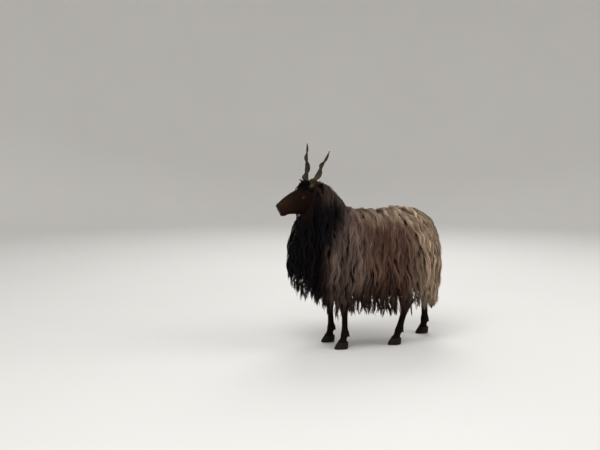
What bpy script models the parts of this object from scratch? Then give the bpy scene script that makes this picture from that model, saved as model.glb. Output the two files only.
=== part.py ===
"""A racka ewe standing with her head held high, at life size.

Metres, +Z up. She faces -Y, her left side is +X, and her hooves stand on Z = 0.
The trunk and the neck are each described twice, row by row: bare, as under the
wool, and in full coat. A mix of the two is the core that carries the locks, and
each lock runs out from the core and hangs down along the full coat.
"""

import math
import random

import bmesh
import bpy
import numpy as np
from mathutils import Matrix, Vector
from mathutils.bvhtree import BVHTree

# Clearance between nodes that touch
GAP = 0.0003

# Trunk, from brisket to pin bones: y, back, underline, half width
TRUNK_BARE = (
    (-0.295, 0.470, 0.400, 0.030),
    (-0.265, 0.530, 0.350, 0.075),
    (-0.190, 0.600, 0.325, 0.110),
    (-0.080, 0.635, 0.318, 0.125),
    (0.060, 0.622, 0.312, 0.150),
    (0.180, 0.632, 0.335, 0.145),
    (0.260, 0.615, 0.380, 0.118),
    (0.310, 0.570, 0.420, 0.080),
    (0.328, 0.520, 0.455, 0.035),
)
TRUNK_COAT = (
    (-0.396, 0.500, 0.400, 0.045),
    (-0.370, 0.600, 0.310, 0.122),
    (-0.285, 0.668, 0.225, 0.180),
    (-0.120, 0.698, 0.185, 0.206),
    (0.050, 0.680, 0.180, 0.219),
    (0.200, 0.692, 0.180, 0.213),
    (0.310, 0.658, 0.190, 0.178),
    (0.372, 0.580, 0.225, 0.120),
    (0.392, 0.480, 0.320, 0.045),
)
TRUNK_WAIST = 0.45
# How square the section is over the back and under the belly, where 2 is an oval
TRUNK_SQUARE = (2.3, 2.9)
TRUNK_RINGS = 17
TRUNK_SIDES = 22

# Neck, from the chest up to the poll: z, front, back, half width
NECK_BARE = (
    (0.450, -0.300, -0.080, 0.085),
    (0.550, -0.310, -0.100, 0.075),
    (0.630, -0.312, -0.135, 0.060),
    (0.700, -0.315, -0.180, 0.052),
    (0.760, -0.312, -0.218, 0.046),
    (0.795, -0.300, -0.240, 0.030),
)
NECK_COAT = (
    (0.420, -0.388, -0.070, 0.158),
    (0.520, -0.391, -0.070, 0.156),
    (0.620, -0.378, -0.082, 0.140),
    (0.715, -0.348, -0.126, 0.114),
    (0.790, -0.318, -0.188, 0.080),
    (0.832, -0.295, -0.245, 0.030),
)
NECK_SQUARE = 2.2
NECK_RINGS = 10
NECK_SIDES = 18

# The cut that parts neck from trunk runs from behind the withers to the chest
SEAM_BACK = Vector((0, -0.080, 0.705))
SEAM_FRONT = Vector((0, -0.430, 0.420))
SEAM_REACH = 1.2

# Fleece: a core that reaches less than half way out, and locks from it to the full coat
CORE_SHARE = 0.48
LOCK_LENGTH = 0.260
LOCK_WIDTH = 0.092
LOCK_THICK = 0.024
LOCK_SUNK = 0.012
LOCK_WAVE = 0.016
LOCK_VARIES = 0.16
LOCK_SPACING = 0.072
LOCK_STEP = 0.010
LOCK_LIFT = 2.2
# One lock, from root to tip: share of its length, width and thickness
LOCK_FORM = (
    (0.00, 0.80, 0.90),
    (0.28, 1.00, 1.00),
    (0.60, 0.88, 0.95),
    (0.85, 0.46, 0.60),
)
# Wool parts along the back, and falls free where the coat turns under the belly
PARTING_PUSH = 0.7
FREE_FALL = -0.30
# Height of the tips along the trunk: y, z
HEM = ((-0.41, 0.330), (-0.33, 0.255), (-0.22, 0.195), (0.10, 0.183), (0.30, 0.200), (0.40, 0.215))
HEM_VARIES = 0.014
# Each tier of trunk locks is rooted at an angle round the section
TRUNK_TIERS = (85, 59, 33, 11, -6)
TRUNK_COLUMNS = (-0.390, 0.375, 10)
# Locks of the brisket, under the seam: x, z
BRISKET = ((0.0, 0.415), (0.075, 0.412), (0.140, 0.400), (0.036, 0.372), (0.108, 0.362))
# Each tier of neck locks: z, locks all round
NECK_TIERS = ((0.815, 6), (0.765, 8), (0.705, 9), (0.640, 10), (0.570, 10), (0.500, 11))

# Head frame: its origin is on the poll and it looks forward and down
POLL = Vector((0, -0.281, 0.812))
HEAD_PITCH = math.radians(16)
# Head, from the nape to the nose: distance forward, top, bottom, half width
HEAD = (
    (-0.028, -0.030, -0.080, 0.022),
    (-0.012, -0.012, -0.100, 0.040),
    (0.018, 0.002, -0.117, 0.050),
    (0.052, 0.004, -0.128, 0.053),
    (0.080, 0.000, -0.127, 0.052),
    (0.103, -0.003, -0.119, 0.045),
    (0.128, -0.008, -0.110, 0.038),
    (0.154, -0.015, -0.103, 0.034),
    (0.177, -0.024, -0.099, 0.032),
    (0.194, -0.034, -0.094, 0.028),
    (0.204, -0.048, -0.081, 0.016),
)
HEAD_SIDES = 18
HEAD_RINGS = 20
HEAD_SQUARE = 2.25
HEAD_WIDEST = 0.56
HEAD_NARROWING = 0.13

# A forelock between the horns: sideways root, length
FORELOCK = ((-0.013, 0.050), (0.013, 0.054), (0.0, 0.062))
FORELOCK_ROOT = 0.020
FORELOCK_WIDTH = 0.024
FORELOCK_THICK = 0.008
FORELOCK_SUNK = 0.007
FORELOCK_RISE = 0.004

EYE_RADIUS = 0.0125
EYE_SEGMENTS = 12
EYE_RINGS = 8
EYE_PLACE = (0.0410, 0.080, -0.038)
LID_RING = 0.0135
LID_THICK = 0.0032
LID_PLACE = (0.0460, 0.0810, -0.0375)
LID_FACES = Vector((1, 0.22, 0.10))
# The rim of the lids is longer than it is high
LID_STRETCH = (1.1, 0.86)

NOSTRIL_PLACE = (0.0125, 0.199, -0.047)
NOSTRIL_SIZE = (0.0042, 0.0105, 0.0030)
NOSTRIL_FLARE = math.radians(38)
NOSTRIL_SLOPE = math.radians(32)
# Upper lip and chin: middle, then half width, length and height
LIPS = (((0, 0.187, -0.060), (0.0265, 0.022, 0.0225)), ((0, 0.182, -0.090), (0.0190, 0.022, 0.0125)))
MOUTH_CORNER = (0.146, -0.080)
MOUTH_FRONT = (0.210, -0.071)
MOUTH_SAG = 0.004
MOUTH_GAPE = 0.0022
MOUTH_REACH = 0.05
LIP_DEPTH = 0.0038

# Ears stand out sideways, a little up and back, with the cup turned forward
EAR_ROOT = (0.037, -0.006, -0.043)
EAR_TIP = Vector((0.152, -0.292, 0.828))
EAR_FACES = Vector((0.25, -1, -0.25))
EAR_WIDTH = 0.046
EAR_WALL = 0.0035
# How much the wall thins to the tip, and how much thicker it starts at the root
EAR_THINNING = 0.55
EAR_ROOT_WALL = 0.006
EAR_CUP = 0.013
EAR_TIP_HALF = 0.002
EAR_RINGS = 10
EAR_STRIPS = 7

# Horns: straight-axed corkscrews set in a V, her left one a little shorter
HORN_ROOT = (0.031, 0.025, -0.006)
HORN_TIPS = {1: Vector((0.148, -0.254, 0.980)), -1: Vector((-0.136, -0.257, 1.010))}
HORN_RADIUS = 0.0155
HORN_TIP_RADIUS = 0.0016
HORN_TURNS = 2.2
HORN_SWING = 0.0070
# Share of the horn's length where it first stands furthest out
HORN_PHASE = 0.30
HORN_KEEL = 0.28
# How fast the horn thins and its swing dies out, and the share where the swing is full
HORN_THINNING = 0.8
HORN_CALMING = 0.6
HORN_SWING_START = 1 / 6
HORN_SIDES = 8
HORN_RINGS = 26

# Legs: each row is y from the hoof, z, half width across, half depth
CORONET = 0.034
FRONT_FOOT = (0.085, -0.157)
HIND_LEFT_FOOT = (0.092, 0.132)
HIND_RIGHT_FOOT = (-0.096, 0.388)
FRONT_LEG = (
    (0.000, CORONET, 0.0185, 0.0235),
    (0.006, 0.052, 0.0150, 0.0165),
    (0.014, 0.076, 0.0180, 0.0205),
    (0.012, 0.104, 0.0130, 0.0150),
    (0.010, 0.165, 0.0130, 0.0150),
    (0.006, 0.205, 0.0195, 0.0215),
    (0.010, 0.245, 0.0195, 0.0225),
    (0.018, 0.310, 0.0300, 0.0400),
    (0.020, 0.370, 0.0360, 0.0520),
)
HIND_LEG_FORWARD = (
    (0.000, CORONET, 0.0185, 0.0235),
    (0.010, 0.052, 0.0155, 0.0170),
    (0.021, 0.078, 0.0185, 0.0210),
    (0.028, 0.106, 0.0140, 0.0165),
    (0.046, 0.165, 0.0145, 0.0180),
    (0.064, 0.212, 0.0185, 0.0270),
    (0.056, 0.252, 0.0190, 0.0280),
    (0.030, 0.310, 0.0320, 0.0500),
    (0.026, 0.370, 0.0420, 0.0680),
)
HIND_LEG_BACK = (
    (0.000, CORONET, 0.0185, 0.0235),
    (0.006, 0.052, 0.0155, 0.0170),
    (0.012, 0.078, 0.0185, 0.0210),
    (0.012, 0.106, 0.0140, 0.0165),
    (0.012, 0.165, 0.0145, 0.0180),
    (0.011, 0.212, 0.0185, 0.0265),
    (-0.020, 0.256, 0.0190, 0.0290),
    (-0.074, 0.310, 0.0320, 0.0500),
    (-0.116, 0.370, 0.0420, 0.0680),
)
LEG_SPREAD = 0.04
LEG_SIDES = 10
LEG_RINGS = 15

# Each hoof has two claws, a toe's breadth apart
CLAW_WIDTH = 0.021
CLAW_SPLIT = 0.0035
CLAW_TOE = 0.040
CLAW_HEEL = 0.022
# Each level of a claw: z, share of its outline, shift back
CLAW_LEVELS = ((0, 1, 0), (0.012, 0.97, 0.002), (0.024, 0.88, 0.006), (CORONET - GAP, 0.76, 0.009))

# Tail in full wool, from its root down: y, z, half width, half depth
TAIL = (
    (0.325, 0.575, 0.018, 0.018),
    (0.362, 0.560, 0.030, 0.024),
    (0.388, 0.500, 0.040, 0.030),
    (0.398, 0.410, 0.044, 0.032),
    (0.396, 0.310, 0.040, 0.028),
    (0.390, 0.220, 0.030, 0.020),
    (0.386, 0.150, 0.010, 0.008),
)
TAIL_RINGS = 9
TAIL_SIDES = 10
TAIL_CORE = 0.58
TAIL_CORE_RINGS = 7
TAIL_LOCK = (0.150, 0.046, 0.016)
# Each tail lock: share of the way down, angle round from her left side
TAIL_LOCKS = ((0.16, 90), (0.30, 30), (0.30, 150), (0.42, 90), (0.56, 35), (0.56, 145), (0.66, 90))

COLOURS = {
    "coat": ((0.045, 0.032, 0.027, 1), 0.9),
    "face": ((0.012, 0.010, 0.009, 1), 0.6),
    "horn": ((0.055, 0.042, 0.030, 1), 0.45),
    "hoof": ((0.015, 0.013, 0.012, 1), 0.5),
    "eye": ((0.030, 0.018, 0.008, 1), 0.1),
}
SMOOTH_BELOW = math.radians(35)
SEED = 9


def clear_scene():
    """Leaves the scene empty."""
    for obj in list(bpy.data.objects):
        bpy.data.objects.remove(obj)


def material(kind):
    """The Principled material of one kind of surface."""
    made = bpy.data.materials.get(kind)
    if made:
        return made
    made = bpy.data.materials.new(kind)
    made.use_nodes = True
    colour, roughness = COLOURS[kind]
    shader = made.node_tree.nodes["Principled BSDF"]
    shader.inputs["Base Color"].default_value = colour
    shader.inputs["Roughness"].default_value = roughness
    shader.inputs["Metallic"].default_value = 0.0
    return made


def row_at(rows, place):
    """The row at a place, counted in rows, on a Catmull-Rom curve through all of them."""
    rows = np.array(rows, float)
    padded = np.vstack([2 * rows[0] - rows[1], rows, 2 * rows[-1] - rows[-2]])
    start = min(int(place), len(rows) - 2)
    t = place - start
    a, b, c, d = padded[start : start + 4]
    bend = (2 * a - 5 * b + 4 * c - d) * t**2 + (3 * b - a - 3 * c + d) * t**3
    return 0.5 * (2 * b + (c - a) * t + bend)


def smoothed(rows, count):
    """Count rows, evenly spread along the curve through the given rows."""
    return [row_at(rows, place) for place in np.linspace(0, len(rows) - 1, count)]


def row_where(rows, value):
    """The row whose first number has a value, on the curve through the given rows."""
    firsts = [row[0] for row in rows]
    return row_at(rows, float(np.interp(value, firsts, range(len(rows)))))


def mixed(bare, coat, share):
    """Rows that lie a share of the way from the bare body to the full coat."""
    return [tuple(b + (c - b) * share for b, c in zip(*rows)) for rows in zip(bare, coat)]


def rounded(angle, power):
    """Cosine and sine of an angle, pushed out towards a square by power."""
    c, s = math.cos(angle), math.sin(angle)
    return math.copysign(abs(c) ** (2 / power), c), math.copysign(abs(s) ** (2 / power), s)


def closed_mesh(name, points, faces):
    """A mesh object from points and faces, with its faces turned outwards."""
    mesh = bpy.data.meshes.new(name)
    mesh.from_pydata([tuple(p) for p in points], [], faces)
    shape = bmesh.new()
    shape.from_mesh(mesh)
    bmesh.ops.recalc_face_normals(shape, faces=shape.faces)
    shape.to_mesh(mesh)
    shape.free()
    obj = bpy.data.objects.new(name, mesh)
    bpy.context.scene.collection.objects.link(obj)
    return obj


def loft(name, rings, tip=None):
    """A closed skin over rings of equal count, closed round its middle or at a tip."""
    sides = len(rings[0])
    points = [p for ring in rings for p in ring]
    faces = []
    for row in range(len(rings) - 1):
        for k in range(sides):
            a, b = row * sides + k, row * sides + (k + 1) % sides
            faces += [(a, b, b + sides), (a, b + sides, a + sides)]
    for start, end in ((0, None), ((len(rings) - 1) * sides, tip)):
        middle = sum((Vector(p) for p in points[start : start + sides]), Vector()) / sides
        points.append(end or middle)
        faces += [(start + k, start + (k + 1) % sides, len(points) - 1) for k in range(sides)]
    return closed_mesh(name, points, faces)


def trunk_point(row, angle):
    """A point round one trunk section. An angle of a quarter turn is the back."""
    y, top, bottom, half = row
    waist = bottom + TRUNK_WAIST * (top - bottom)
    c, s = rounded(angle, TRUNK_SQUARE[0] if math.sin(angle) > 0 else TRUNK_SQUARE[1])
    return Vector((half * c, y, waist + (top - waist if s > 0 else waist - bottom) * s))


def neck_point(row, angle):
    """A point round one level of the neck. An angle of a quarter turn is the nape."""
    z, front, back, half = row
    c, s = rounded(angle, NECK_SQUARE)
    return Vector((half * c, (front + back) / 2 + (back - front) / 2 * s, z))


def head_frame():
    """The matrix from the head's own axes, left, forward and up, to the world."""
    forward = Vector((0, -math.cos(HEAD_PITCH), -math.sin(HEAD_PITCH)))
    up = Vector((0, -math.sin(HEAD_PITCH), math.cos(HEAD_PITCH)))
    turned = Matrix((Vector((1, 0, 0)), forward, up)).transposed().to_4x4()
    return Matrix.Translation(POLL) @ turned


def in_head(place, side=1):
    """A world point from the head's own left, forward and up, on either side."""
    x, forward, up = place
    return head_frame() @ Vector((x * side, forward, up))


def head_point(row, angle):
    """A point round one head section, narrow over the nose and under the jaw."""
    forward, top, bottom, half = row
    widest = bottom + HEAD_WIDEST * (top - bottom)
    c, s = rounded(angle, HEAD_SQUARE)
    narrowing = 1 - HEAD_NARROWING * abs(s) ** 1.5
    up = widest + (top - widest if s > 0 else widest - bottom) * s
    return in_head((half * c * narrowing, forward, up))


def ringed(point_of, rows, sides):
    """Rings of points from a section function and its rows."""
    return [[point_of(row, math.tau * (k + 0.5) / sides) for k in range(sides)] for row in rows]


def tube(name, path, sizes, sides, level=False):
    """A tube of oval sections along a fore-and-aft path, square to it or all level."""
    across = Vector((1, 0, 0))
    rings = []
    for k, middle in enumerate(path):
        ahead = (path[min(k + 1, len(path) - 1)] - path[max(k - 1, 0)]).normalized()
        depth = Vector((0, 1, 0)) if level else ahead.cross(across).normalized()
        wide, deep = sizes[k]
        turns = [math.tau * (j + 0.5) / sides for j in range(sides)]
        rings.append([middle + across * (wide * math.cos(a)) + depth * (deep * math.sin(a)) for a in turns])
    return loft(name, rings)


def boolean(target, others, operation, solver="EXACT"):
    """Joins or cuts the target with closed objects, which are then removed."""
    group = bpy.data.collections.new("operands")
    bpy.context.scene.collection.children.link(group)
    for other in others:
        for holder in other.users_collection:
            holder.objects.unlink(other)
        group.objects.link(other)
    modifier = target.modifiers.new("join", "BOOLEAN")
    modifier.operation = operation
    modifier.operand_type = "COLLECTION"
    modifier.collection = group
    modifier.solver = solver
    bpy.context.view_layer.update()
    graph = bpy.context.evaluated_depsgraph_get()
    mesh = bpy.data.meshes.new_from_object(target.evaluated_get(graph))
    target.modifiers.clear()
    target.data = mesh
    for other in others:
        bpy.data.objects.remove(other)
    bpy.data.collections.remove(group)
    return target


def volume_under(faces):
    """Six times the volume that a set of triangles closes off."""
    return sum(f.verts[0].co.dot(f.verts[1].co.cross(f.verts[2].co)) for f in faces)


def keep_largest(obj):
    """Keeps the one closed surface that holds the most, and drops the rest."""
    shape = bmesh.new()
    shape.from_mesh(obj.data)
    bmesh.ops.triangulate(shape, faces=shape.faces)
    left, bodies = set(shape.faces), []
    while left:
        found, front = set(), [left.pop()]
        while front:
            face = front.pop()
            found.add(face)
            near = {other for edge in face.edges for other in edge.link_faces} & left
            left -= near
            front += near
        bodies.append(found)
    largest = max(bodies, key=volume_under)
    spare = [face for face in shape.faces if face not in largest]
    bmesh.ops.delete(shape, geom=spare, context="FACES")
    shape.to_mesh(obj.data)
    shape.free()
    return obj


def grown(obj, by=2 * GAP):
    """A copy of a node pushed out along its normals, to cut its neighbours clear."""
    mesh = obj.data.copy()
    shape = bmesh.new()
    shape.from_mesh(mesh)
    bmesh.ops.remove_doubles(shape, verts=shape.verts, dist=GAP / 30)
    shape.normal_update()
    places = [v.co + v.normal * by * v.calc_shell_factor() for v in shape.verts]
    for vert, place in zip(shape.verts, places):
        vert.co = place
    shape.to_mesh(mesh)
    shape.free()
    made = bpy.data.objects.new(obj.name + "_clearance", mesh)
    bpy.context.scene.collection.objects.link(made)
    return made


def finish(obj, kind, sharp=SMOOTH_BELOW):
    """Gives a node its material and its shading."""
    obj.data.materials.clear()
    obj.data.materials.append(material(kind))
    obj.data.shade_smooth()
    obj.data.set_sharp_from_angle(angle=sharp)
    return obj


def side_name(side):
    """The word for one side of the animal."""
    return "left" if side > 0 else "right"


def surface_of(obj):
    """A search tree over an object's surface."""
    return BVHTree.FromPolygons([v.co for v in obj.data.vertices], [p.vertices for p in obj.data.polygons])


def seam_frame():
    """The seam's middle, its run towards the chest and the direction of its neck side."""
    run = (SEAM_FRONT - SEAM_BACK).normalized()
    return (SEAM_FRONT + SEAM_BACK) / 2, run, Vector((0, run.z, -run.y))


def on_neck(place):
    """Whether a place is on the neck's side of the seam."""
    middle, _, rise = seam_frame()
    return (place - middle).dot(rise) > 0


def hem_at(y):
    """Height that the fleece reaches down to at one place along the trunk."""
    return float(np.interp(y, *zip(*HEM)))


def hang(surface, start, length, lowest, push=Vector()):
    """Points and normals along a path down a surface, which falls free at its underside."""
    place, normal = surface.find_nearest(start)[:2]
    path = [(place, normal)]
    while len(path) * LOCK_STEP < length and place.z > lowest:
        if normal.z > FREE_FALL:
            parting = Vector((math.copysign(PARTING_PUSH, place.x) * max(0, normal.z), 0, 0))
            down = Vector((0, 0, -1)) + parting + push
            ahead = (down - normal * down.dot(normal)).normalized()
            place, normal = surface.find_nearest(place + ahead * LOCK_STEP)[:2]
        else:
            place = place - Vector((0, 0, LOCK_STEP))
        path.append((place, normal))
    return path


def make_lock(path, size, depth, wave, rise=0.0, extra=0.0):
    """One flat, tapered, bending lock over a path, rooted at a depth and out at its tip."""
    width, thick = size
    last = len(path) - 1
    middles, corners = [], []
    for share, wide, deep in (*LOCK_FORM, (1.0, 0, 0)):
        at = share * last
        low = min(int(at), last - 1)
        place = path[low][0].lerp(path[low + 1][0], at - low)
        near = path[max(0, low - 2) : low + 4]
        normal = sum((normal for _, normal in near), Vector()).normalized()
        ahead = (near[-1][0] - near[0][0]).normalized()
        across = ahead.cross(normal).normalized()
        out = across.cross(ahead).normalized()
        sway = wave * share * math.sin(math.tau * share)
        middles.append(place + across * sway + out * (rise * share - depth * (1 - share) ** LOCK_LIFT))
        side, face = across * (width * wide / 2 + extra), out * (thick * deep / 2 + extra)
        corners.append((side, face, -side, -face))
    middles[0] += (middles[0] - middles[1]).normalized() * extra
    middles[-1] += (middles[-1] - middles[-2]).normalized() * extra
    rings = [[middle + corner for corner in ring] for middle, ring in zip(middles[:-1], corners)]
    return loft("lock", rings, middles[-1])


def depth_below(core, place, normal):
    """Distance from the full coat in to the core, with the root sunk in it."""
    found = core.ray_cast(place + normal * LOCK_STEP, -normal)
    nearest = core.find_nearest(place)
    reach = found[3] - LOCK_STEP if found[0] else nearest[3]
    return min(reach, 1.6 * nearest[3]) + LOCK_SUNK


def fleece_starts():
    """Where the locks start on the full coat, spread evenly, and whether each is the neck's."""
    starts = []
    first, last, count = TRUNK_COLUMNS
    pitch = (last - first) / (count - 1)
    for tier, degrees in enumerate(TRUNK_TIERS):
        for column in range(count):
            row = row_where(TRUNK_COAT, min(last, first + pitch * (column + 0.5 * (tier % 2))))
            for side in (1, -1):
                starts.append((trunk_point(row, math.radians(90 - side * (90 - degrees))), False))
    for x, z in BRISKET:
        for side in (1, -1):
            starts.append((Vector((side * x, SEAM_FRONT.y, z)), False))
    for tier, (z, count) in enumerate(NECK_TIERS):
        row = row_where(NECK_COAT, z)
        for k in range(count):
            angle = math.tau * (k + 0.5 * (tier % 2)) / count + math.pi / 2
            starts.append((neck_point(row, angle), True))
    return [(place, neck) for place, neck in starts if on_neck(place) == neck]


def plan_fleece(envelope, core):
    """What each lock of the fleece needs: its node, path, width and thickness, depth and wave."""
    draw = random.Random(SEED)
    outside, inside = surface_of(envelope), surface_of(core)
    plans, taken = [], []
    for start, neck in fleece_starts():
        place, normal = outside.find_nearest(start)[:2]
        longer, wider, thicker = [1 + LOCK_VARIES * draw.uniform(-1, 1) for _ in range(3)]
        sway, hem, drift = draw.uniform(-1, 1), draw.uniform(-1, 1), draw.uniform(-0.2, 0.2)
        if min(((place - other).length for other in taken), default=1) < LOCK_SPACING:
            continue
        if (place - start).length > LOCK_WIDTH / 3:
            continue
        lowest = hem_at(place.y) + HEM_VARIES * hem
        path = hang(outside, place, LOCK_LENGTH * longer, lowest, Vector((0, drift, 0)))
        if len(path) * LOCK_STEP < LOCK_LENGTH / 3:
            continue
        taken.append(place)
        size = (LOCK_WIDTH * wider, LOCK_THICK * thicker)
        depth = depth_below(inside, place, normal)
        plans.append(("neck" if neck else "torso", (path, size, depth, LOCK_WAVE * sway)))
    return plans


def make_eye(side):
    """An eyeball that sits two thirds of its depth in the head."""
    bpy.ops.mesh.primitive_uv_sphere_add(segments=EYE_SEGMENTS, ring_count=EYE_RINGS, radius=EYE_RADIUS)
    eye = bpy.context.object
    eye.name = f"eye_{side_name(side)}"
    eye.data.transform(Matrix.Rotation(math.radians(90), 4, "Y"))
    eye.data.transform(Matrix.Translation(in_head(EYE_PLACE, side)))
    return finish(eye, "eye")


def make_horn(side):
    """A corkscrew horn: its keeled section turns as its middle winds round the axis."""
    root = in_head(HORN_ROOT, side)
    axis = HORN_TIPS[side] - root
    ahead = axis.normalized()
    across = Vector((side, 0, 0))
    across = (across - ahead * across.dot(ahead)).normalized()
    back = ahead.cross(across) * side
    rings = []
    for k in range(HORN_RINGS):
        share = k / (HORN_RINGS - 1)
        turn = math.tau * HORN_TURNS * (share - HORN_PHASE)
        radius = HORN_TIP_RADIUS + (HORN_RADIUS - HORN_TIP_RADIUS) * (1 - share) ** HORN_THINNING
        swing = HORN_SWING * min(1, share / HORN_SWING_START) * (1 - share) ** HORN_CALMING
        middle = root + axis * share
        middle += (across * math.cos(turn) + back * math.sin(turn)) * swing
        ring = []
        for j in range(HORN_SIDES):
            angle = math.tau * j / HORN_SIDES
            reach = radius * (1 + HORN_KEEL * math.cos(2 * (angle - turn)))
            ring.append(middle + (across * math.cos(angle) + back * math.sin(angle)) * reach)
        rings.append(ring)
    return finish(loft(f"horn_{side_name(side)}", rings), "horn", math.radians(50))


def make_ear(side, extra=0.0):
    """A leaf-shaped ear with a hollow cup, open to the front. Extra makes it larger all round."""
    root, tip = in_head(EAR_ROOT, side), EAR_TIP * Vector((side, 1, 1))
    along = tip - root
    ahead = along.normalized()
    cup = EAR_FACES * Vector((side, 1, 1))
    cup = (cup - ahead * cup.dot(ahead)).normalized()
    across = ahead.cross(cup)
    rings = []
    for share in np.linspace(0, 1, EAR_RINGS):
        leaf = 0.50 + 0.50 * math.sin(math.pi * min(1, share * 1.15) ** 0.8)
        half = max(EAR_WIDTH / 2 * leaf * (1 - share**5), EAR_TIP_HALF) + extra
        hollow = EAR_CUP * max(0, math.sin(math.pi * share**0.6)) ** 0.8
        wall = EAR_WALL * (1 - EAR_THINNING * share) + EAR_ROOT_WALL * (1 - share) ** 4
        middle = root + along * share + ahead * (extra * (2 * share - 1))
        outer, inner = [], []
        for v in np.linspace(-1, 1, EAR_STRIPS):
            bow = 1 - v * v
            edge = middle + across * (half * v)
            outer.append(edge - cup * (bow * (hollow + wall) + 2 * extra))
            inner.append(edge - cup * (bow * hollow - wall - 2 * extra))
        rings.append(outer + inner[::-1])
    return finish(loft(f"ear_{side_name(side)}", rings), "face")


def make_lids(side):
    """A rim of skin round one eye."""
    bpy.ops.mesh.primitive_torus_add(
        major_segments=14, minor_segments=5, major_radius=LID_RING, minor_radius=LID_THICK
    )
    lids = bpy.context.object
    out = head_frame().to_3x3() @ (LID_FACES * Vector((side, 1, 1)))
    lids.data.transform(Matrix.Diagonal((*LID_STRETCH, 1, 1)))
    lids.data.transform(out.to_track_quat("Z", "Y").to_matrix().to_4x4())
    lids.data.transform(Matrix.Translation(in_head(LID_PLACE, side)))
    return lids


def make_nostril(side):
    """The slit that one nostril cuts into the nose."""
    bpy.ops.mesh.primitive_uv_sphere_add(segments=8, ring_count=6, radius=1)
    slit = bpy.context.object
    slit.data.transform(Matrix.Diagonal((*NOSTRIL_SIZE, 1)))
    slit.data.transform(Matrix.Rotation(-side * NOSTRIL_FLARE, 4, "Z"))
    slit.data.transform(Matrix.Rotation(-NOSTRIL_SLOPE, 4, "X"))
    slit.data.transform(Matrix.Translation(Vector(NOSTRIL_PLACE) * Vector((side, 1, 1))))
    slit.data.transform(head_frame())
    return slit


def make_lip(place, size):
    """The rounded form of one lip."""
    bpy.ops.mesh.primitive_uv_sphere_add(segments=12, ring_count=8, radius=1)
    lip = bpy.context.object
    lip.data.transform(Matrix.Rotation(math.radians(90), 4, "X"))
    lip.data.transform(Matrix.Diagonal((*size, 1)))
    lip.data.transform(head_frame() @ Matrix.Translation(place))
    return lip


def make_mouth():
    """The wedge that parts the lips, along the line of the mouth."""
    rings = []
    for share in np.linspace(0, 1, 5):
        forward = MOUTH_CORNER[0] + (MOUTH_FRONT[0] - MOUTH_CORNER[0]) * share
        up = MOUTH_CORNER[1] + (MOUTH_FRONT[1] - MOUTH_CORNER[1]) * share
        up -= MOUTH_SAG * math.sin(math.pi * share)
        half = MOUTH_GAPE / 2 * (0.25 + 0.75 * share)
        corners = ((-1, half), (1, half), (1, -half), (-1, -half))
        rings.append([in_head((x * MOUTH_REACH, forward, up + z)) for x, z in corners])
    core = []
    for forward, top, bottom, half in HEAD:
        core.append((forward, top - LIP_DEPTH, bottom + LIP_DEPTH, max(half - LIP_DEPTH, 0.003)))
    inside = loft("inside", ringed(head_point, smoothed(core, 14), 16))
    return boolean(loft("mouth", rings), [inside], "DIFFERENCE")


def head_form(name):
    """The plain outside of the skull, muzzle and jaw."""
    return loft(name, ringed(head_point, smoothed(HEAD, HEAD_RINGS), HEAD_SIDES))


def make_forelock(skull):
    """Short locks that fall from between the horns over the forehead."""
    surface = surface_of(skull)
    locks = []
    for sideways, length in FORELOCK:
        start = in_head((sideways, FORELOCK_ROOT, FORELOCK_WIDTH))
        path = hang(surface, start, length, 0, Vector((0, -2, 0)))
        size = (FORELOCK_WIDTH, FORELOCK_THICK)
        locks.append(make_lock(path, size, FORELOCK_SUNK, 0.15 * sideways, FORELOCK_RISE))
    return locks


def make_head():
    """The head in one, with lids, forelock, nostrils and the line of the mouth."""
    head = head_form("head")
    added = make_forelock(head) + [make_lids(side) for side in (1, -1)] + [make_lip(*lip) for lip in LIPS]
    boolean(head, added, "UNION")
    boolean(head, [make_nostril(side) for side in (1, -1)] + [make_mouth()], "DIFFERENCE")
    return head


def make_leg(name, foot, rows):
    """One leg from the coronet up into the body."""
    x, y = foot
    rows = smoothed(rows, LEG_RINGS)
    spread = math.copysign(LEG_SPREAD, x)
    path = [Vector((x + spread * (row[1] - CORONET), y + row[0], row[1])) for row in rows]
    sizes = [(row[2], row[3]) for row in rows]
    return finish(tube(name, path, sizes, LEG_SIDES, level=True), "face")


def make_claw(name, foot, inner):
    """Half a hoof: flat below, upright outside and pointed at the toe."""
    x, y = foot
    outward = math.copysign(1, x) * (-1 if inner else 1)
    near = CLAW_SPLIT / 2
    outline = (
        (near, -CLAW_TOE),
        (near, CLAW_HEEL),
        (near + 0.55 * CLAW_WIDTH, CLAW_HEEL + 0.002),
        (near + CLAW_WIDTH, CLAW_HEEL * 0.35),
        (near + 0.98 * CLAW_WIDTH, -0.35 * CLAW_TOE),
        (near + 0.55 * CLAW_WIDTH, -0.86 * CLAW_TOE),
        (near + 0.2 * CLAW_WIDTH, -1.02 * CLAW_TOE),
    )
    rings = []
    for z, shrink, shift in CLAW_LEVELS:
        ring = []
        for across, ahead in outline:
            wide = near + (across - near) * shrink
            ring.append(Vector((x + outward * wide, y + ahead * shrink + shift, z)))
        rings.append(ring)
    return finish(loft(name, rings), "hoof", math.radians(30))


def tail_tube(name, share, rings):
    """The tail's own form at a share of its woolly thickness."""
    rows = smoothed(TAIL, rings)
    path = [Vector((0, row[0], row[1])) for row in rows]
    return tube(name, path, [(row[2] * share, row[3] * share) for row in rows], TAIL_SIDES)


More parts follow.
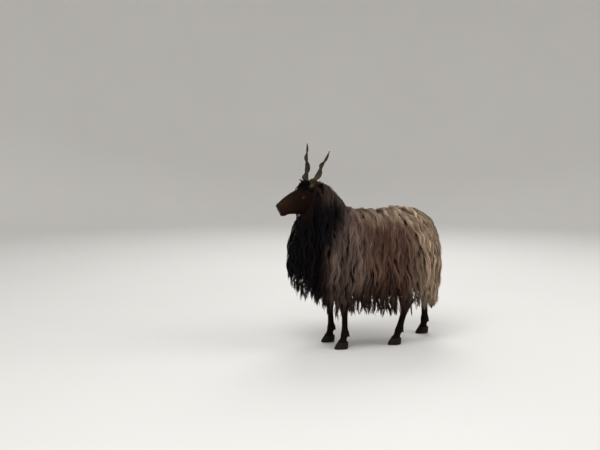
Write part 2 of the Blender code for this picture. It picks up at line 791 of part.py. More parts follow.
def make_tail(extra=0.0):
    """The tail, hanging against the rump, with its own locks. Extra makes it larger all round."""
    envelope = tail_tube("tail_coat", 1, TAIL_RINGS)
    tail = tail_tube("tail", TAIL_CORE, TAIL_CORE_RINGS)
    surface, core = surface_of(envelope), surface_of(tail)
    length, width, thick = TAIL_LOCK
    locks = []
    for share, degrees in TAIL_LOCKS:
        y, z, wide, deep = row_at(TAIL, share * (len(TAIL) - 1))
        angle = math.radians(degrees)
        start = Vector((wide * math.cos(angle), y + deep * math.sin(angle), z))
        place, normal = surface.find_nearest(start)[:2]
        path = hang(surface, place, length, TAIL[-1][1])
        depth = depth_below(core, place, normal)
        locks.append(make_lock(path, (width, thick), depth, 0.0, extra=extra))
    bpy.data.objects.remove(envelope)
    if extra:
        tail = boolean(grown(tail, extra), [tail], "UNION")
    return keep_largest(boolean(tail, locks, "UNION"))


def coat_form(share):
    """The trunk and neck together at a share of the coat's depth."""
    trunk_rows = smoothed(mixed(TRUNK_BARE, TRUNK_COAT, share), TRUNK_RINGS)
    neck_rows = smoothed(mixed(NECK_BARE, NECK_COAT, share), NECK_RINGS)
    trunk = loft("coat", ringed(trunk_point, trunk_rows, TRUNK_SIDES))
    neck = loft("neck", ringed(neck_point, neck_rows, NECK_SIDES))
    return boolean(trunk, [neck], "UNION")


def half_space(name, above):
    """A block that fills the space on one side of the seam below the neck."""
    middle, run, rise = seam_frame()
    side = 1 if above else -1
    near = middle + rise * (side * GAP / 2)
    far = near + rise * (side * SEAM_REACH)
    across = Vector((SEAM_REACH, 0, 0))
    corners = [(-1, -1), (1, -1), (1, 1), (-1, 1)]
    rings = [[place + across * a + run * (b * SEAM_REACH) for a, b in corners] for place in (near, far)]
    return loft(name, rings)


def duplicate(obj, name):
    """A second object with its own copy of the mesh."""
    made = bpy.data.objects.new(name, obj.data.copy())
    bpy.context.scene.collection.objects.link(made)
    return made


def stand_on_origin(nodes):
    """Hangs every node on one empty, placed so that the whole stands over the origin."""
    corners = [obj.matrix_world @ Vector(c) for obj in nodes for c in obj.bound_box]
    low = [min(c[k] for c in corners) for k in range(3)]
    high = [max(c[k] for c in corners) for k in range(3)]
    animal = bpy.data.objects.new("racka_ewe", None)
    bpy.context.scene.collection.objects.link(animal)
    animal.location = (-(low[0] + high[0]) / 2, -(low[1] + high[1]) / 2, -low[2])
    for obj in nodes:
        obj.parent = animal


def make_coat():
    """Torso and neck, each a core with its own locks, parted where the neck's locks end."""
    envelope = coat_form(1.0)
    core = coat_form(CORE_SHARE)
    plans = plan_fleece(envelope, core)
    locks = {node: [make_lock(*plan) for name, plan in plans if name == node] for node in ("neck", "torso")}
    over = [make_lock(*plan, extra=2 * GAP) for name, plan in plans if name == "neck"]
    neck = boolean(duplicate(core, "neck"), [half_space("above", True)], "INTERSECT")
    boolean(neck, locks["neck"], "UNION", "MANIFOLD")
    torso = boolean(duplicate(core, "torso"), locks["torso"], "UNION", "MANIFOLD")
    boolean(torso, [half_space("below", False)], "INTERSECT", "MANIFOLD")
    boolean(torso, over, "DIFFERENCE", "MANIFOLD")
    bpy.data.objects.remove(envelope)
    bpy.data.objects.remove(core)
    return keep_largest(neck), keep_largest(torso)


def main():
    """Builds every node of the ewe and stands her on the origin."""
    clear_scene()
    feet = {
        "front_left": (FRONT_FOOT, FRONT_LEG),
        "front_right": ((-FRONT_FOOT[0], FRONT_FOOT[1]), FRONT_LEG),
        "hind_left": (HIND_LEFT_FOOT, HIND_LEG_FORWARD),
        "hind_right": (HIND_RIGHT_FOOT, HIND_LEG_BACK),
    }
    legs = [make_leg(f"leg_{name}", *feet[name]) for name in feet]
    claws = [
        make_claw(f"hoof_{name}_{'inner' if inner else 'outer'}", feet[name][0], inner)
        for name in feet
        for inner in (True, False)
    ]
    eyes = [make_eye(side) for side in (1, -1)]
    horns = [make_horn(side) for side in (1, -1)]
    ears = [make_ear(side) for side in (1, -1)]
    tail = finish(make_tail(), "coat")
    head = make_head()
    ear_clearances = [make_ear(side, GAP) for side in (1, -1)]
    boolean(head, [grown(obj) for obj in eyes + horns] + ear_clearances, "DIFFERENCE")
    finish(keep_largest(head), "face")

    neck, torso = make_coat()
    plain_head = head_form("plain_head")
    clearances = [make_ear(side, GAP) for side in (1, -1)] + [grown(obj) for obj in [plain_head, *horns]]
    bpy.data.objects.remove(plain_head)
    boolean(neck, clearances, "DIFFERENCE", "MANIFOLD")
    boolean(torso, [grown(obj) for obj in legs] + [make_tail(2 * GAP)], "DIFFERENCE", "MANIFOLD")
    for obj in (neck, torso):
        finish(keep_largest(obj), "coat")

    stand_on_origin([*legs, *claws, *eyes, *horns, *ears, tail, head, neck, torso])


main()
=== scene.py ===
"""A racka ewe in full fleece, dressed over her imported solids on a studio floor.

Metres, +Z up. She faces -Y and her left side is +X. The tables repeat the sizes that
the solids are made from, before they are stood on the origin. ORIGIN_SHIFT is what
separates the two, and it moves every finished piece.
"""

import math

import bmesh
import bpy
import numpy as np
from mathutils import Matrix, Vector
from mathutils.bvhtree import BVHTree


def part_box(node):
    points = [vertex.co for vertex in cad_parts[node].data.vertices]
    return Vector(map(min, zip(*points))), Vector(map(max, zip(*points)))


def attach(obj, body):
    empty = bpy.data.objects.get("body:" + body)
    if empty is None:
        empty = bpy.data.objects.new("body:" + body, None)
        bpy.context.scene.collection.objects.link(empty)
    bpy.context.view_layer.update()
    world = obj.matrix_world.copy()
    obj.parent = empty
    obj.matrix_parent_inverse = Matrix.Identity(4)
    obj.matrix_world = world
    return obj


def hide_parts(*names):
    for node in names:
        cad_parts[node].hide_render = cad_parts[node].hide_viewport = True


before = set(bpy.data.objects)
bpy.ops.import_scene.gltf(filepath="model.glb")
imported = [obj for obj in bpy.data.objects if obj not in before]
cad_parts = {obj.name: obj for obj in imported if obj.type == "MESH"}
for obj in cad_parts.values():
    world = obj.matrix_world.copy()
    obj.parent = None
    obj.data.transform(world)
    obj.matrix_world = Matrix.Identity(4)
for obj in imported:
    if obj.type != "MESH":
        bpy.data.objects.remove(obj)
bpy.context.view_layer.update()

# Trunk, from brisket to pin bones: y, back, underline, half width
TRUNK_BARE = (
    (-0.295, 0.470, 0.400, 0.030),
    (-0.265, 0.530, 0.350, 0.075),
    (-0.190, 0.600, 0.325, 0.110),
    (-0.080, 0.635, 0.318, 0.125),
    (0.060, 0.622, 0.312, 0.150),
    (0.180, 0.632, 0.335, 0.145),
    (0.260, 0.615, 0.380, 0.118),
    (0.310, 0.570, 0.420, 0.080),
    (0.328, 0.520, 0.455, 0.035),
)
TRUNK_COAT = (
    (-0.396, 0.500, 0.400, 0.045),
    (-0.370, 0.600, 0.310, 0.122),
    (-0.285, 0.668, 0.225, 0.180),
    (-0.120, 0.698, 0.185, 0.206),
    (0.050, 0.680, 0.180, 0.219),
    (0.200, 0.692, 0.180, 0.213),
    (0.310, 0.658, 0.190, 0.178),
    (0.372, 0.580, 0.225, 0.120),
    (0.392, 0.480, 0.320, 0.045),
)
# The height where a section is widest, as a share of the way from underline to back
TRUNK_WAIST = 0.45
# How square a section is, where 2 is an oval: back and belly, neck, head
TRUNK_SQUARE = (2.3, 2.9)
NECK_SQUARE = 2.2
HEAD_SQUARE = 2.25

# Neck, from the chest up to the poll: z, front, back, half width
NECK_BARE = (
    (0.450, -0.300, -0.080, 0.085),
    (0.550, -0.310, -0.100, 0.075),
    (0.630, -0.312, -0.135, 0.060),
    (0.700, -0.315, -0.180, 0.052),
    (0.760, -0.312, -0.218, 0.046),
    (0.795, -0.300, -0.240, 0.030),
)
NECK_COAT = (
    (0.420, -0.388, -0.070, 0.158),
    (0.520, -0.391, -0.070, 0.156),
    (0.620, -0.378, -0.082, 0.140),
    (0.715, -0.348, -0.126, 0.114),
    (0.790, -0.318, -0.188, 0.080),
    (0.832, -0.295, -0.245, 0.030),
)

# How far forward the wool reaches on the head: height, distance forward
WOOL_EDGE = ((-0.118, 0.106), (-0.10, 0.078), (-0.06, 0.064), (-0.03, 0.034), (0.0, 0.006))

# Height that the fleece hangs down to: y, z
HEM = (
    (-0.41, 0.375),
    (-0.36, 0.300),
    (-0.30, 0.228),
    (-0.22, 0.190),
    (0.10, 0.183),
    (0.30, 0.200),
    (0.40, 0.215),
)

# Head frame: its origin is on the poll and it looks forward and down
POLL = Vector((0, -0.281, 0.812))
HEAD_PITCH = math.radians(16)
# Head, from the nape to the nose: distance forward, top, bottom, half width
HEAD = (
    (-0.028, -0.030, -0.080, 0.022),
    (-0.012, -0.012, -0.100, 0.040),
    (0.018, 0.002, -0.117, 0.050),
    (0.052, 0.004, -0.128, 0.053),
    (0.080, 0.000, -0.127, 0.052),
    (0.103, -0.003, -0.119, 0.045),
    (0.128, -0.008, -0.110, 0.038),
    (0.154, -0.015, -0.103, 0.034),
    (0.177, -0.024, -0.099, 0.032),
    (0.194, -0.034, -0.094, 0.028),
    (0.204, -0.048, -0.081, 0.016),
)
# Where a section is widest, from bottom to top, and how much it narrows over nose and jaw
HEAD_WIDEST = 0.56
HEAD_NARROWING = 0.13

EYE_RADIUS = 0.0125
EYE_PLACE = (0.0410, 0.080, -0.038)
EYE_FACES = Vector((1, 0.22, 0.10))
EYE_LEVEL = Vector((0, 1, -0.22))
# The opening between the lids: half its length, height above and below the middle, and
# how much longer it is towards the inner corner
LID_OPENING = (0.0106, 0.0062, 0.0050)
LID_CORNER = 1.14
LID_GAP = 0.0012
LID_THICKNESS = 0.0019
LID_STEPS = 56
LID_SIDES = 10
SOCKET_DEPTH = 0.0016
LASH_STATIONS = 8
UPPER_LASH = 0.0085
LOWER_LASH = 0.0055

NOSTRIL_PLACE = (0.0125, 0.199, -0.047)
NOSTRIL_SIZE = (0.0042, 0.0105, 0.0030)
NOSTRIL_FLARE = math.radians(38)
NOSTRIL_SLOPE = math.radians(32)
NOSTRIL_DEPTH = 0.0085
NOSTRIL_RIM = 0.0012
LIPS = (
    ((0, 0.187, -0.060), (0.0265, 0.022, 0.0225)),
    ((0, 0.182, -0.090), (0.0190, 0.022, 0.0125)),
)
MOUTH_CORNER = (0.146, -0.080)
MOUTH_FRONT = (0.210, -0.071)
MOUTH_SAG = 0.004
MOUTH_DEPTH = 0.0034
LIP_ROLL = 0.0011
LIP_GROOVE = 0.0020
NOSE_WRINKLE = 0.0005

# Muscle and bone that show under the skin of the face: middle, half sizes
FACE_FORMS = (
    ((0.0300, 0.046, -0.076), (0.0215, 0.046, 0.042)),
    ((0.0345, 0.073, -0.023), (0.0120, 0.028, 0.0095)),
    ((0.0330, 0.102, -0.056), (0.0100, 0.026, 0.0090)),
    ((0.0180, 0.188, -0.050), (0.0120, 0.018, 0.0150)),
)
# Half sizes of the forms round the eyeball and under the horn
EYE_BULGE = (0.0150, 0.0158, 0.0150)
HORN_SEAT = (0.0215, 0.0225, 0.0210)

# Folds pressed into the face, before, over and under the eye and at the temple:
# depth, distance forward and its spread, height and its spread
FACE_FOLDS = (
    (0.0028, 0.104, 0.008, -0.0510, 0.0045),
    (0.0013, 0.080, 0.017, -0.0255, 0.0020),
    (0.0010, 0.082, 0.014, -0.0515, 0.0018),
    (0.0026, 0.040, 0.014, -0.0300, 0.0100),
)

# Ears: the root is in the head frame, the tip and the way the cup faces in the world
EAR_ROOT = (0.037, -0.006, -0.043)
EAR_TIP = Vector((0.152, -0.292, 0.828))
EAR_FACES = Vector((0.25, -1, -0.25))
EAR_WIDTH = 0.046
EAR_WALL = 0.0042
EAR_CUP = 0.013
EAR_RIM = 0.0009

# Horns: their root in the head frame and each tip in the world, by side
HORN_ROOT = (0.031, 0.025, -0.006)
HORN_TIPS = {1: Vector((0.148, -0.254, 0.980)), -1: Vector((-0.136, -0.257, 1.010))}
HORN_RADIUS = 0.0155
HORN_TIP_RADIUS = 0.0016
HORN_TURNS = 2.2
HORN_SWING = 0.0070
HORN_PHASE = 0.30
HORN_KEEL = 0.28
HORN_RIDGES = 30
HORN_RIDGE_HEIGHT = 0.00075
HORN_RINGS = 300
HORN_SIDES = 28

# Legs: each row is y from the hoof, z, half width across, half depth
CORONET = 0.034
FEET = {
    "front_left": (0.085, -0.157),
    "front_right": (-0.085, -0.157),
    "hind_left": (0.092, 0.132),
    "hind_right": (-0.096, 0.388),
}
FRONT_LEG = (
    (0.000, CORONET, 0.0185, 0.0235),
    (0.006, 0.052, 0.0150, 0.0165),
    (0.014, 0.076, 0.0180, 0.0205),
    (0.012, 0.104, 0.0130, 0.0150),
    (0.010, 0.165, 0.0130, 0.0150),
    (0.006, 0.205, 0.0195, 0.0215),
    (0.010, 0.245, 0.0195, 0.0225),
    (0.018, 0.310, 0.0300, 0.0400),
    (0.020, 0.370, 0.0360, 0.0520),
)
HIND_LEG_FORWARD = (
    (0.000, CORONET, 0.0185, 0.0235),
    (0.010, 0.052, 0.0155, 0.0170),
    (0.021, 0.078, 0.0185, 0.0210),
    (0.028, 0.106, 0.0140, 0.0165),
    (0.046, 0.165, 0.0145, 0.0180),
    (0.064, 0.212, 0.0185, 0.0270),
    (0.056, 0.252, 0.0190, 0.0280),
    (0.030, 0.310, 0.0320, 0.0500),
    (0.026, 0.370, 0.0420, 0.0680),
)
HIND_LEG_BACK = (
    (0.000, CORONET, 0.0185, 0.0235),
    (0.006, 0.052, 0.0155, 0.0170),
    (0.012, 0.078, 0.0185, 0.0210),
    (0.012, 0.106, 0.0140, 0.0165),
    (0.012, 0.165, 0.0145, 0.0180),
    (0.011, 0.212, 0.0185, 0.0265),
    (-0.020, 0.256, 0.0190, 0.0290),
    (-0.074, 0.310, 0.0320, 0.0500),
    (-0.116, 0.370, 0.0420, 0.0680),
)
LEG_ROWS = {
    "front_left": FRONT_LEG,
    "front_right": FRONT_LEG,
    "hind_left": HIND_LEG_FORWARD,
    "hind_right": HIND_LEG_BACK,
}
# How far a leg leans outwards for each metre up
LEG_SPREAD = 0.04
KNEE_HEIGHT = 0.212
KNEE_FRONT = 0.00132
HOCK_POINT = 0.0060
HEEL_BULGE = 0.0035
TENDON_GROOVE = 0.20
DEWCLAW_HEIGHT = 0.072
DEWCLAW_RADIUS = 0.0056

# Claws: width, gap between them, length before and behind the foot's middle
CLAW_WIDTH = 0.021
CLAW_SPLIT = 0.0035
CLAW_TOE = 0.040
CLAW_HEEL = 0.022
# Height, share of the full outline, shift to the rear
CLAW_LEVELS = ((0, 1, 0), (0.012, 0.97, 0.002), (0.024, 0.88, 0.006), (CORONET, 0.76, 0.009))

# Tail in full wool, from its root down: y, z, half width, half depth
TAIL = (
    (0.325, 0.575, 0.018, 0.018),
    (0.362, 0.560, 0.030, 0.024),
    (0.388, 0.500, 0.040, 0.030),
    (0.398, 0.410, 0.044, 0.032),
    (0.396, 0.310, 0.040, 0.028),
    (0.390, 0.220, 0.030, 0.020),
    (0.386, 0.150, 0.010, 0.008),
)
# The tail's flesh takes up this share of its width
TAIL_FLESH = 0.35

# Skin: how far it lies from bare towards the coat, and its grain on the body, head and legs
SKIN_SHARE = 0.10
NECK_SKIN_SHARE = 0.52
SKIN_GRAIN = 0.012
HEAD_GRAIN = 0.0018
LEG_GRAIN = 0.0030

# Short coat of the face and legs: one tuft's length and half width, and how far it stands off
FUR_LENGTH = 0.0085
FUR_HALF = 0.00055
FUR_LIFT = 0.30
FUR_BEND = 0.22
FUR_SPACING = {"face": 0.0026, "legs": 0.0033}

# Fleece: every lock is a bundle of wavy strands that close up towards its tip
LOCK_SPACING = 0.0306
LOCK_LENGTH = 0.235
LOCK_VARIES = 0.20
LOCK_HALF_WIDTH = 0.0150
LOCK_TWIST = 4.0
LOCK_STATIONS = 30
CRIMP = 0.0052
CRIMP_LENGTH = 0.100
# How deep locks may lie under the coat's outside, how much deeper the second ones at the
# throat, and how far every root is sunk in the skin
LOCK_LAYER = 0.022
THROAT_FILLING = 0.040
LOCK_SUNK = 0.006
# How steeply a lock rises from its root on the body, and what other parts add to that
LOCK_LIFT = 4.5
CREST_LIFT = 5.5
THROAT_LIFT = 9.0
NAPE_LIFT = 12.0
# Along the spine locks stand closer and root less deep, and half of them cross over it
CREST_SPACING = 0.0205
SPINE_HALF = 0.030
SPINE_DEPTH = 0.022
SPINE_CROSSING = 1.7
# A lock's way down the coat, off the spine and over the rump, until it falls free below
LOCK_STEP = 0.010
PARTING_PUSH = 0.7
RUMP_SWEEP = 0.8
FREE_FALL = -0.30

# Strands: a few broad ones at the middle of the lock, and fine ones round them
STRANDS = 15
BROAD_STRANDS = 4
BROAD_HALF = 1.45
FINE_HALF = 0.68
STRAND_HALF = 0.0020
STRAND_WAVE = 0.0024
STRAND_WAVE_LENGTH = 0.080
STRAND_STATIONS = 14
STRAND_SIDES = 3
STRAND_FLATNESS = 0.6
# A lock's half width, its count of strands and their half width: most locks, and three
# parts that have their own
LOCK_SIZE = (LOCK_HALF_WIDTH, STRANDS, STRAND_HALF)
LOCK_SIZES = {
    "tail": (0.012, 12, STRAND_HALF),
    "belly": (LOCK_HALF_WIDTH, 12, STRAND_HALF),
    "forelock": (0.0045, 6, 0.0011),
}

# Belly, tail and forelock
BELLY_SPACING = 0.030
BELLY_LENGTH = 0.105
TAIL_SPACING = 0.0245
TAIL_LOCK_LENGTH = 0.150
FORELOCK_WISPS = 70
FORELOCK_RISE = 0.025
# How many places are drawn for the roots of locks, before they are spaced out
FLEECE_DRAWS = 26000
BELLY_DRAWS = 1700
TAIL_DRAWS = 3000
SEED = 11

# The form that the fleece follows: the wool on the back of the head, as its middle and
# half sizes, and the grains that the coat and the whole are fused at
CROWN_WOOL = ((0, 0.010, -0.056), (0.060, 0.052, 0.064))
COAT_GRAIN = 0.010
ENVELOPE_GRAIN = 0.009

# Side of the patch of the unwrap that a strand or tuft takes up
BAKE_PATCH = 0.003

# Studio: the floor curves up into its backdrop from this share of its radius on
FLOOR_RADIUS = 9.0
FLOOR_RINGS = 40
FLOOR_SIDES = 96
BACKDROP_HEIGHT = 5.0
BACKDROP_START = 0.62
# Soft lights: name, place, size, power
LIGHTS = (
    ("key", (2.6, -2.2, 4.4), 3.0, 170),
    ("fill", (2.4, 3.4, 3.2), 3.0, 80),
    ("back", (-3.2, 1.6, 3.8), 2.5, 95),
)
LIGHTS_AIM = Vector((0, 0, 0.45))
SKY_COLOUR = (1.0, 0.98, 0.96, 1)
SKY_POWER = 0.50

# Camera. The horizon lies this far above the photo's middle, in pixels of its width
CAMERA_AZIMUTH = math.radians(65)
CAMERA_DISTANCE = 5.0
CAMERA_HEIGHT = 1.15
CAMERA_TURN = math.radians(3.72)
CAMERA_LENS = 60.0
CAMERA_SENSOR = 36.0
HORIZON_RISE = 110
PHOTO_WIDTH = 600


def row_at(rows, place):
    """The row at a place, counted in rows, on a Catmull-Rom curve through all of them."""
    rows = np.array(rows, float)
    padded = np.vstack([2 * rows[0] - rows[1], rows, 2 * rows[-1] - rows[-2]])
    start = min(int(place), len(rows) - 2)
    t = place - start
    a, b, c, d = padded[start : start + 4]
    bend = (2 * a - 5 * b + 4 * c - d) * t**2 + (3 * b - a - 3 * c + d) * t**3
    return 0.5 * (2 * b + (c - a) * t + bend)


def smoothed(rows, count):
    """Count rows, evenly spread along the curve through the given rows."""
    return [row_at(rows, place) for place in np.linspace(0, len(rows) - 1, count)]


def mixed(bare, coat, share):
    """Rows that lie a share of the way from the bare body to the full coat."""
    return [tuple(b + (c - b) * share for b, c in zip(*rows)) for rows in zip(bare, coat)]


def rounded(angle, power):
    """Cosine and sine of an angle, pushed out towards a square by power."""
    c, s = math.cos(angle), math.sin(angle)
    return math.copysign(abs(c) ** (2 / power), c), math.copysign(abs(s) ** (2 / power), s)


def trunk_point(row, angle):
    """A point round one trunk section. An angle of a quarter turn is the back."""
    y, top, bottom, half = row
    waist = bottom + TRUNK_WAIST * (top - bottom)
    c, s = rounded(angle, TRUNK_SQUARE[0] if math.sin(angle) > 0 else TRUNK_SQUARE[1])
    return Vector((half * c, y, waist + (top - waist if s > 0 else waist - bottom) * s))


def neck_point(row, angle):
    """A point round one level of the neck. An angle of a quarter turn is the nape."""
    z, front, back, half = row
    c, s = rounded(angle, NECK_SQUARE)
    return Vector((half * c, (front + back) / 2 + (back - front) / 2 * s, z))


def head_frame():
    """The matrix from the head's own axes, left, forward and up, to the world."""
    forward = Vector((0, -math.cos(HEAD_PITCH), -math.sin(HEAD_PITCH)))
    up = Vector((0, -math.sin(HEAD_PITCH), math.cos(HEAD_PITCH)))
    turned = Matrix((Vector((1, 0, 0)), forward, up)).transposed().to_4x4()
    return Matrix.Translation(POLL) @ turned


def in_head(place, side=1):
    """A world point from the head's own left, forward and up, on either side."""
    x, forward, up = place
    return head_frame() @ Vector((x * side, forward, up))


def head_point(row, angle):
    """A point round one head section, narrow over the nose and under the jaw."""
    forward, top, bottom, half = row
    widest = bottom + HEAD_WIDEST * (top - bottom)
    c, s = rounded(angle, HEAD_SQUARE)
    narrowing = 1 - HEAD_NARROWING * abs(s) ** 1.5
    up = widest + (top - widest if s > 0 else widest - bottom) * s
    return in_head((half * c * narrowing, forward, up))


def box_middle(node):
    """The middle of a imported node's box."""
    low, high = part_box(node)
    return (low + high) / 2


ORIGIN_SHIFT = box_middle("eye_left") - in_head(EYE_PLACE)


def mirrored(vector, side):
    """A vector given for the left, on either side."""
    return Vector(vector) * Vector((side, 1, 1))


def square_to(vector, axis):
    """The direction nearest to a vector that is at a right angle to an axis."""
    return (vector - axis * vector.dot(axis)).normalized()


def side_name(side):
    """The word for one side of the animal."""
    return "left" if side > 0 else "right"


def put(name, data):
    """Links a new object that holds a mesh, a lamp or a camera."""
    made = bpy.data.objects.new(name, data)
    bpy.context.scene.collection.objects.link(made)
    return made


def closed_mesh(name, points, faces):
    """A mesh object from points and faces, with its faces turned outwards."""
    mesh = bpy.data.meshes.new(name)
    mesh.from_pydata([tuple(p) for p in points], [], faces)
    shape = bmesh.new()
    shape.from_mesh(mesh)
    bmesh.ops.recalc_face_normals(shape, faces=shape.faces)
    shape.to_mesh(mesh)
    shape.free()
    return put(name, mesh)


def grid_faces(rings, sides, looped=False):
    """The quads between rings in a row, and from the last to the first where it is looped."""
    faces = []
    for row in range(rings if looped else rings - 1):
        start, following = row * sides, (row + 1) % rings * sides
        for k in range(sides):
            after = (k + 1) % sides
            faces.append((start + k, start + after, following + after, following + k))
    return faces


def loft(name, rings):
    """A closed skin over rings of equal count, each end closed at its middle."""
    sides = len(rings[0])
    points = [p for ring in rings for p in ring]
    faces = grid_faces(len(rings), sides)
    for start in (0, (len(rings) - 1) * sides):
        points.append(sum((Vector(p) for p in points[start : start + sides]), Vector()) / sides)
        faces += [(start + k, start + (k + 1) % sides, len(points) - 1) for k in range(sides)]
    return closed_mesh(name, points, faces)


def ringed(point_of, rows, sides):
    """Rings of points from a section function and its rows."""
    return [[point_of(row, math.tau * (k + 0.5) / sides) for k in range(sides)] for row in rows]


def oval(middle, across, depth, wide, deep, sides, start=0.0):
    """Points round an oval, from its middle, two directions and two half sizes."""
    turns = [math.tau * (k + start) / sides for k in range(sides)]
    return [middle + across * (wide * math.cos(a)) + depth * (deep * math.sin(a)) for a in turns]


def tube(name, path, sizes, sides, level=False):
    """A tube of oval sections along a fore-and-aft path, square to it or all level."""
    across = Vector((1, 0, 0))
    rings = []
    for k, (middle, size) in enumerate(zip(path, sizes)):
        ahead = (path[min(k + 1, len(path) - 1)] - path[max(k - 1, 0)]).normalized()
        depth = Vector((0, 1, 0)) if level else ahead.cross(across).normalized()
        rings.append(oval(middle, across, depth, *size, sides, 0.5))
    return loft(name, rings)


def ellipsoid(middle, size):
    """A closed ellipsoid, set in the head's own axes."""
    bpy.ops.mesh.primitive_uv_sphere_add(segments=40, ring_count=24, radius=1)
    made = bpy.context.object
    made.data.transform(Matrix.Diagonal((*size, 1)))
    made.data.transform(head_frame() @ Matrix.Translation(middle))
    return made


def applied(obj):
    """Turns an object's modifiers into plain mesh."""
    bpy.context.view_layer.update()
    graph = bpy.context.evaluated_depsgraph_get()
    mesh = bpy.data.meshes.new_from_object(obj.evaluated_get(graph))
    obj.modifiers.clear()
    obj.data = mesh
    return obj


def united(target, others):
    """Joins closed objects to the target, and removes them."""
    group = bpy.data.collections.new("operands")
    bpy.context.scene.collection.children.link(group)
    for other in others:
        for holder in other.users_collection:
            holder.objects.unlink(other)
        group.objects.link(other)
    modifier = target.modifiers.new("join", "BOOLEAN")
    modifier.operation = "UNION"
    modifier.operand_type = "COLLECTION"
    modifier.collection = group
    modifier.solver = "MANIFOLD"
    applied(target)
    for other in others:
        bpy.data.objects.remove(other)
    bpy.data.collections.remove(group)
    return target


def remeshed(obj, grain, rounds, factor=0.5):
    """Fuses an object's parts into one skin of even grain and smooths it."""
    modifier = obj.modifiers.new("fuse", "REMESH")
    modifier.mode = "VOXEL"
    modifier.voxel_size = grain
    if rounds:
        smooth = obj.modifiers.new("smooth", "SMOOTH")
        smooth.factor = factor
        smooth.iterations = rounds
    return applied(obj)


def joined(name, parts):
    """One object that holds the meshes of several, which are then removed."""
    shape = bmesh.new()
    for part in parts:
        shape.from_mesh(part.data)
    mesh = bpy.data.meshes.new(name)
    shape.to_mesh(mesh)
    shape.free()
    for part in parts:
        bpy.data.objects.remove(part)
    return put(name, mesh)


def surface_of(obj):
    """A search tree over an object's surface."""
    mesh = obj.data
    return BVHTree.FromPolygons([v.co for v in mesh.vertices], [p.vertices for p in mesh.polygons])


def places_of(obj, field="co"):
    """All of an object's points as an array, or with field normal which way each faces."""
    values = np.empty(len(obj.data.vertices) * 3)
    obj.data.vertices.foreach_get(field, values)
    return values.reshape(-1, 3)


def set_places(obj, places):
    """Writes an array back to an object's points."""
    obj.data.vertices.foreach_set("co", np.ascontiguousarray(places, dtype=np.float64).ravel())
    obj.data.update()


def ease(value, low, high):
    """A smooth step from 0 at low to 1 at high."""
    t = np.clip((value - low) / (high - low), 0, 1)
    return t * t * (3 - 2 * t)


def bump(value, middle, spread):
    """A smooth bump that is 1 at its middle."""
    return np.exp(-(((value - middle) / spread) ** 2))


def unit(rows):
    """Vectors of length 1 along the last axis."""
    return rows / np.maximum(np.linalg.norm(rows, axis=-1, keepdims=True), 1e-9)


def seen_from(axes, places):
    """Places turned from the world into the axes of a matrix."""
    back = np.array(axes.inverted())
    return places @ back[:3, :3].T + back[:3, 3]


# Shading


class Pattern:
    """A socket of a node tree, so that patterns are written as plain arithmetic."""

    def __init__(self, tree, socket=None):
        self.tree = tree
        self.socket = socket

    def node(self, kind, settings=None, sockets=None, out=0):
        """An output of a new node, from its settings and the values or links of its sockets."""
        made = self.tree.nodes.new(kind)
        for name, value in (settings or {}).items():
            setattr(made, name, value)
        for name, value in (sockets or {}).items():
            if isinstance(value, Pattern):
                self.tree.links.new(value.socket, made.inputs[name])
            else:
                made.inputs[name].default_value = value
        return None if out is None else Pattern(self.tree, made.outputs[out])

    def other(self, name):
        """Another output of the node that this value comes from."""
        return Pattern(self.tree, self.socket.node.outputs[name])

    def math(self, operation, *others):
        """A Math node on this value and others."""
        values = dict(enumerate((self, *others)))
        return self.node("ShaderNodeMath", {"operation": operation}, values)

    def __add__(self, other):
        return self.math("ADD", other)

    __radd__ = __add__

    def __sub__(self, other):
        return self.math("SUBTRACT", other)

    def __rsub__(self, other):
        return self.node("ShaderNodeMath", {"operation": "SUBTRACT"}, {0: other, 1: self})

    def __mul__(self, other):
        return self.math("MULTIPLY", other)

    def vector(self, operation, other):
        """A Vector Math node on this place and another."""
        return self.node("ShaderNodeVectorMath", {"operation": operation}, {0: self, 1: other})

    def scaled(self, factor):
        """This place scaled by one number."""
        return self.node("ShaderNodeVectorMath", {"operation": "SCALE"}, {0: self, "Scale": factor})

    def axis(self, index):
        """One of the three numbers of this place."""
        return self.node("ShaderNodeSeparateXYZ", {}, {0: self}, index)

    def step(self, low, high):
        """A smooth step from 0 at low to 1 at high."""
        settings = {"interpolation_type": "SMOOTHSTEP"}
        return self.node("ShaderNodeMapRange", settings, {0: self, 1: low, 2: high})

    def between(self, first, second):
        """A number mixed from first to second by this value."""
        return self.node("ShaderNodeMix", {}, {0: self, 2: first, 3: second})

    def blend(self, first, second):
        """A colour mixed from first to second by this value."""
        return self.node("ShaderNodeMix", {"data_type": "RGBA"}, {0: self, 6: first, 7: second}, 2)

    def tinted(self, shade):
        """This colour multiplied by another."""
        settings = {"data_type": "RGBA", "blend_type": "MULTIPLY"}
        return self.node("ShaderNodeMix", settings, {0: 1.0, 6: self, 7: shade}, 2)

    def noise(self, where, scale, detail, roughness=0.5):
        """A noise between 0 and 1, read at a place."""
        sockets = {"Vector": where, "Scale": scale, "Detail": detail, "Roughness": roughness}
        return self.node("ShaderNodeTexNoise", {}, sockets)

    def attribute(self, name, out=2):
        """A value that the mesh carries at each point."""
        return self.node("ShaderNodeAttribute", {"attribute_name": name}, {}, out)

    def place(self):
        """The place on the animal, in the frame of the tables."""
        packed = self.node("ShaderNodeTexCoord", {}, {}, 3)
        return packed.vector("SUBTRACT", tuple(ORIGIN_SHIFT))


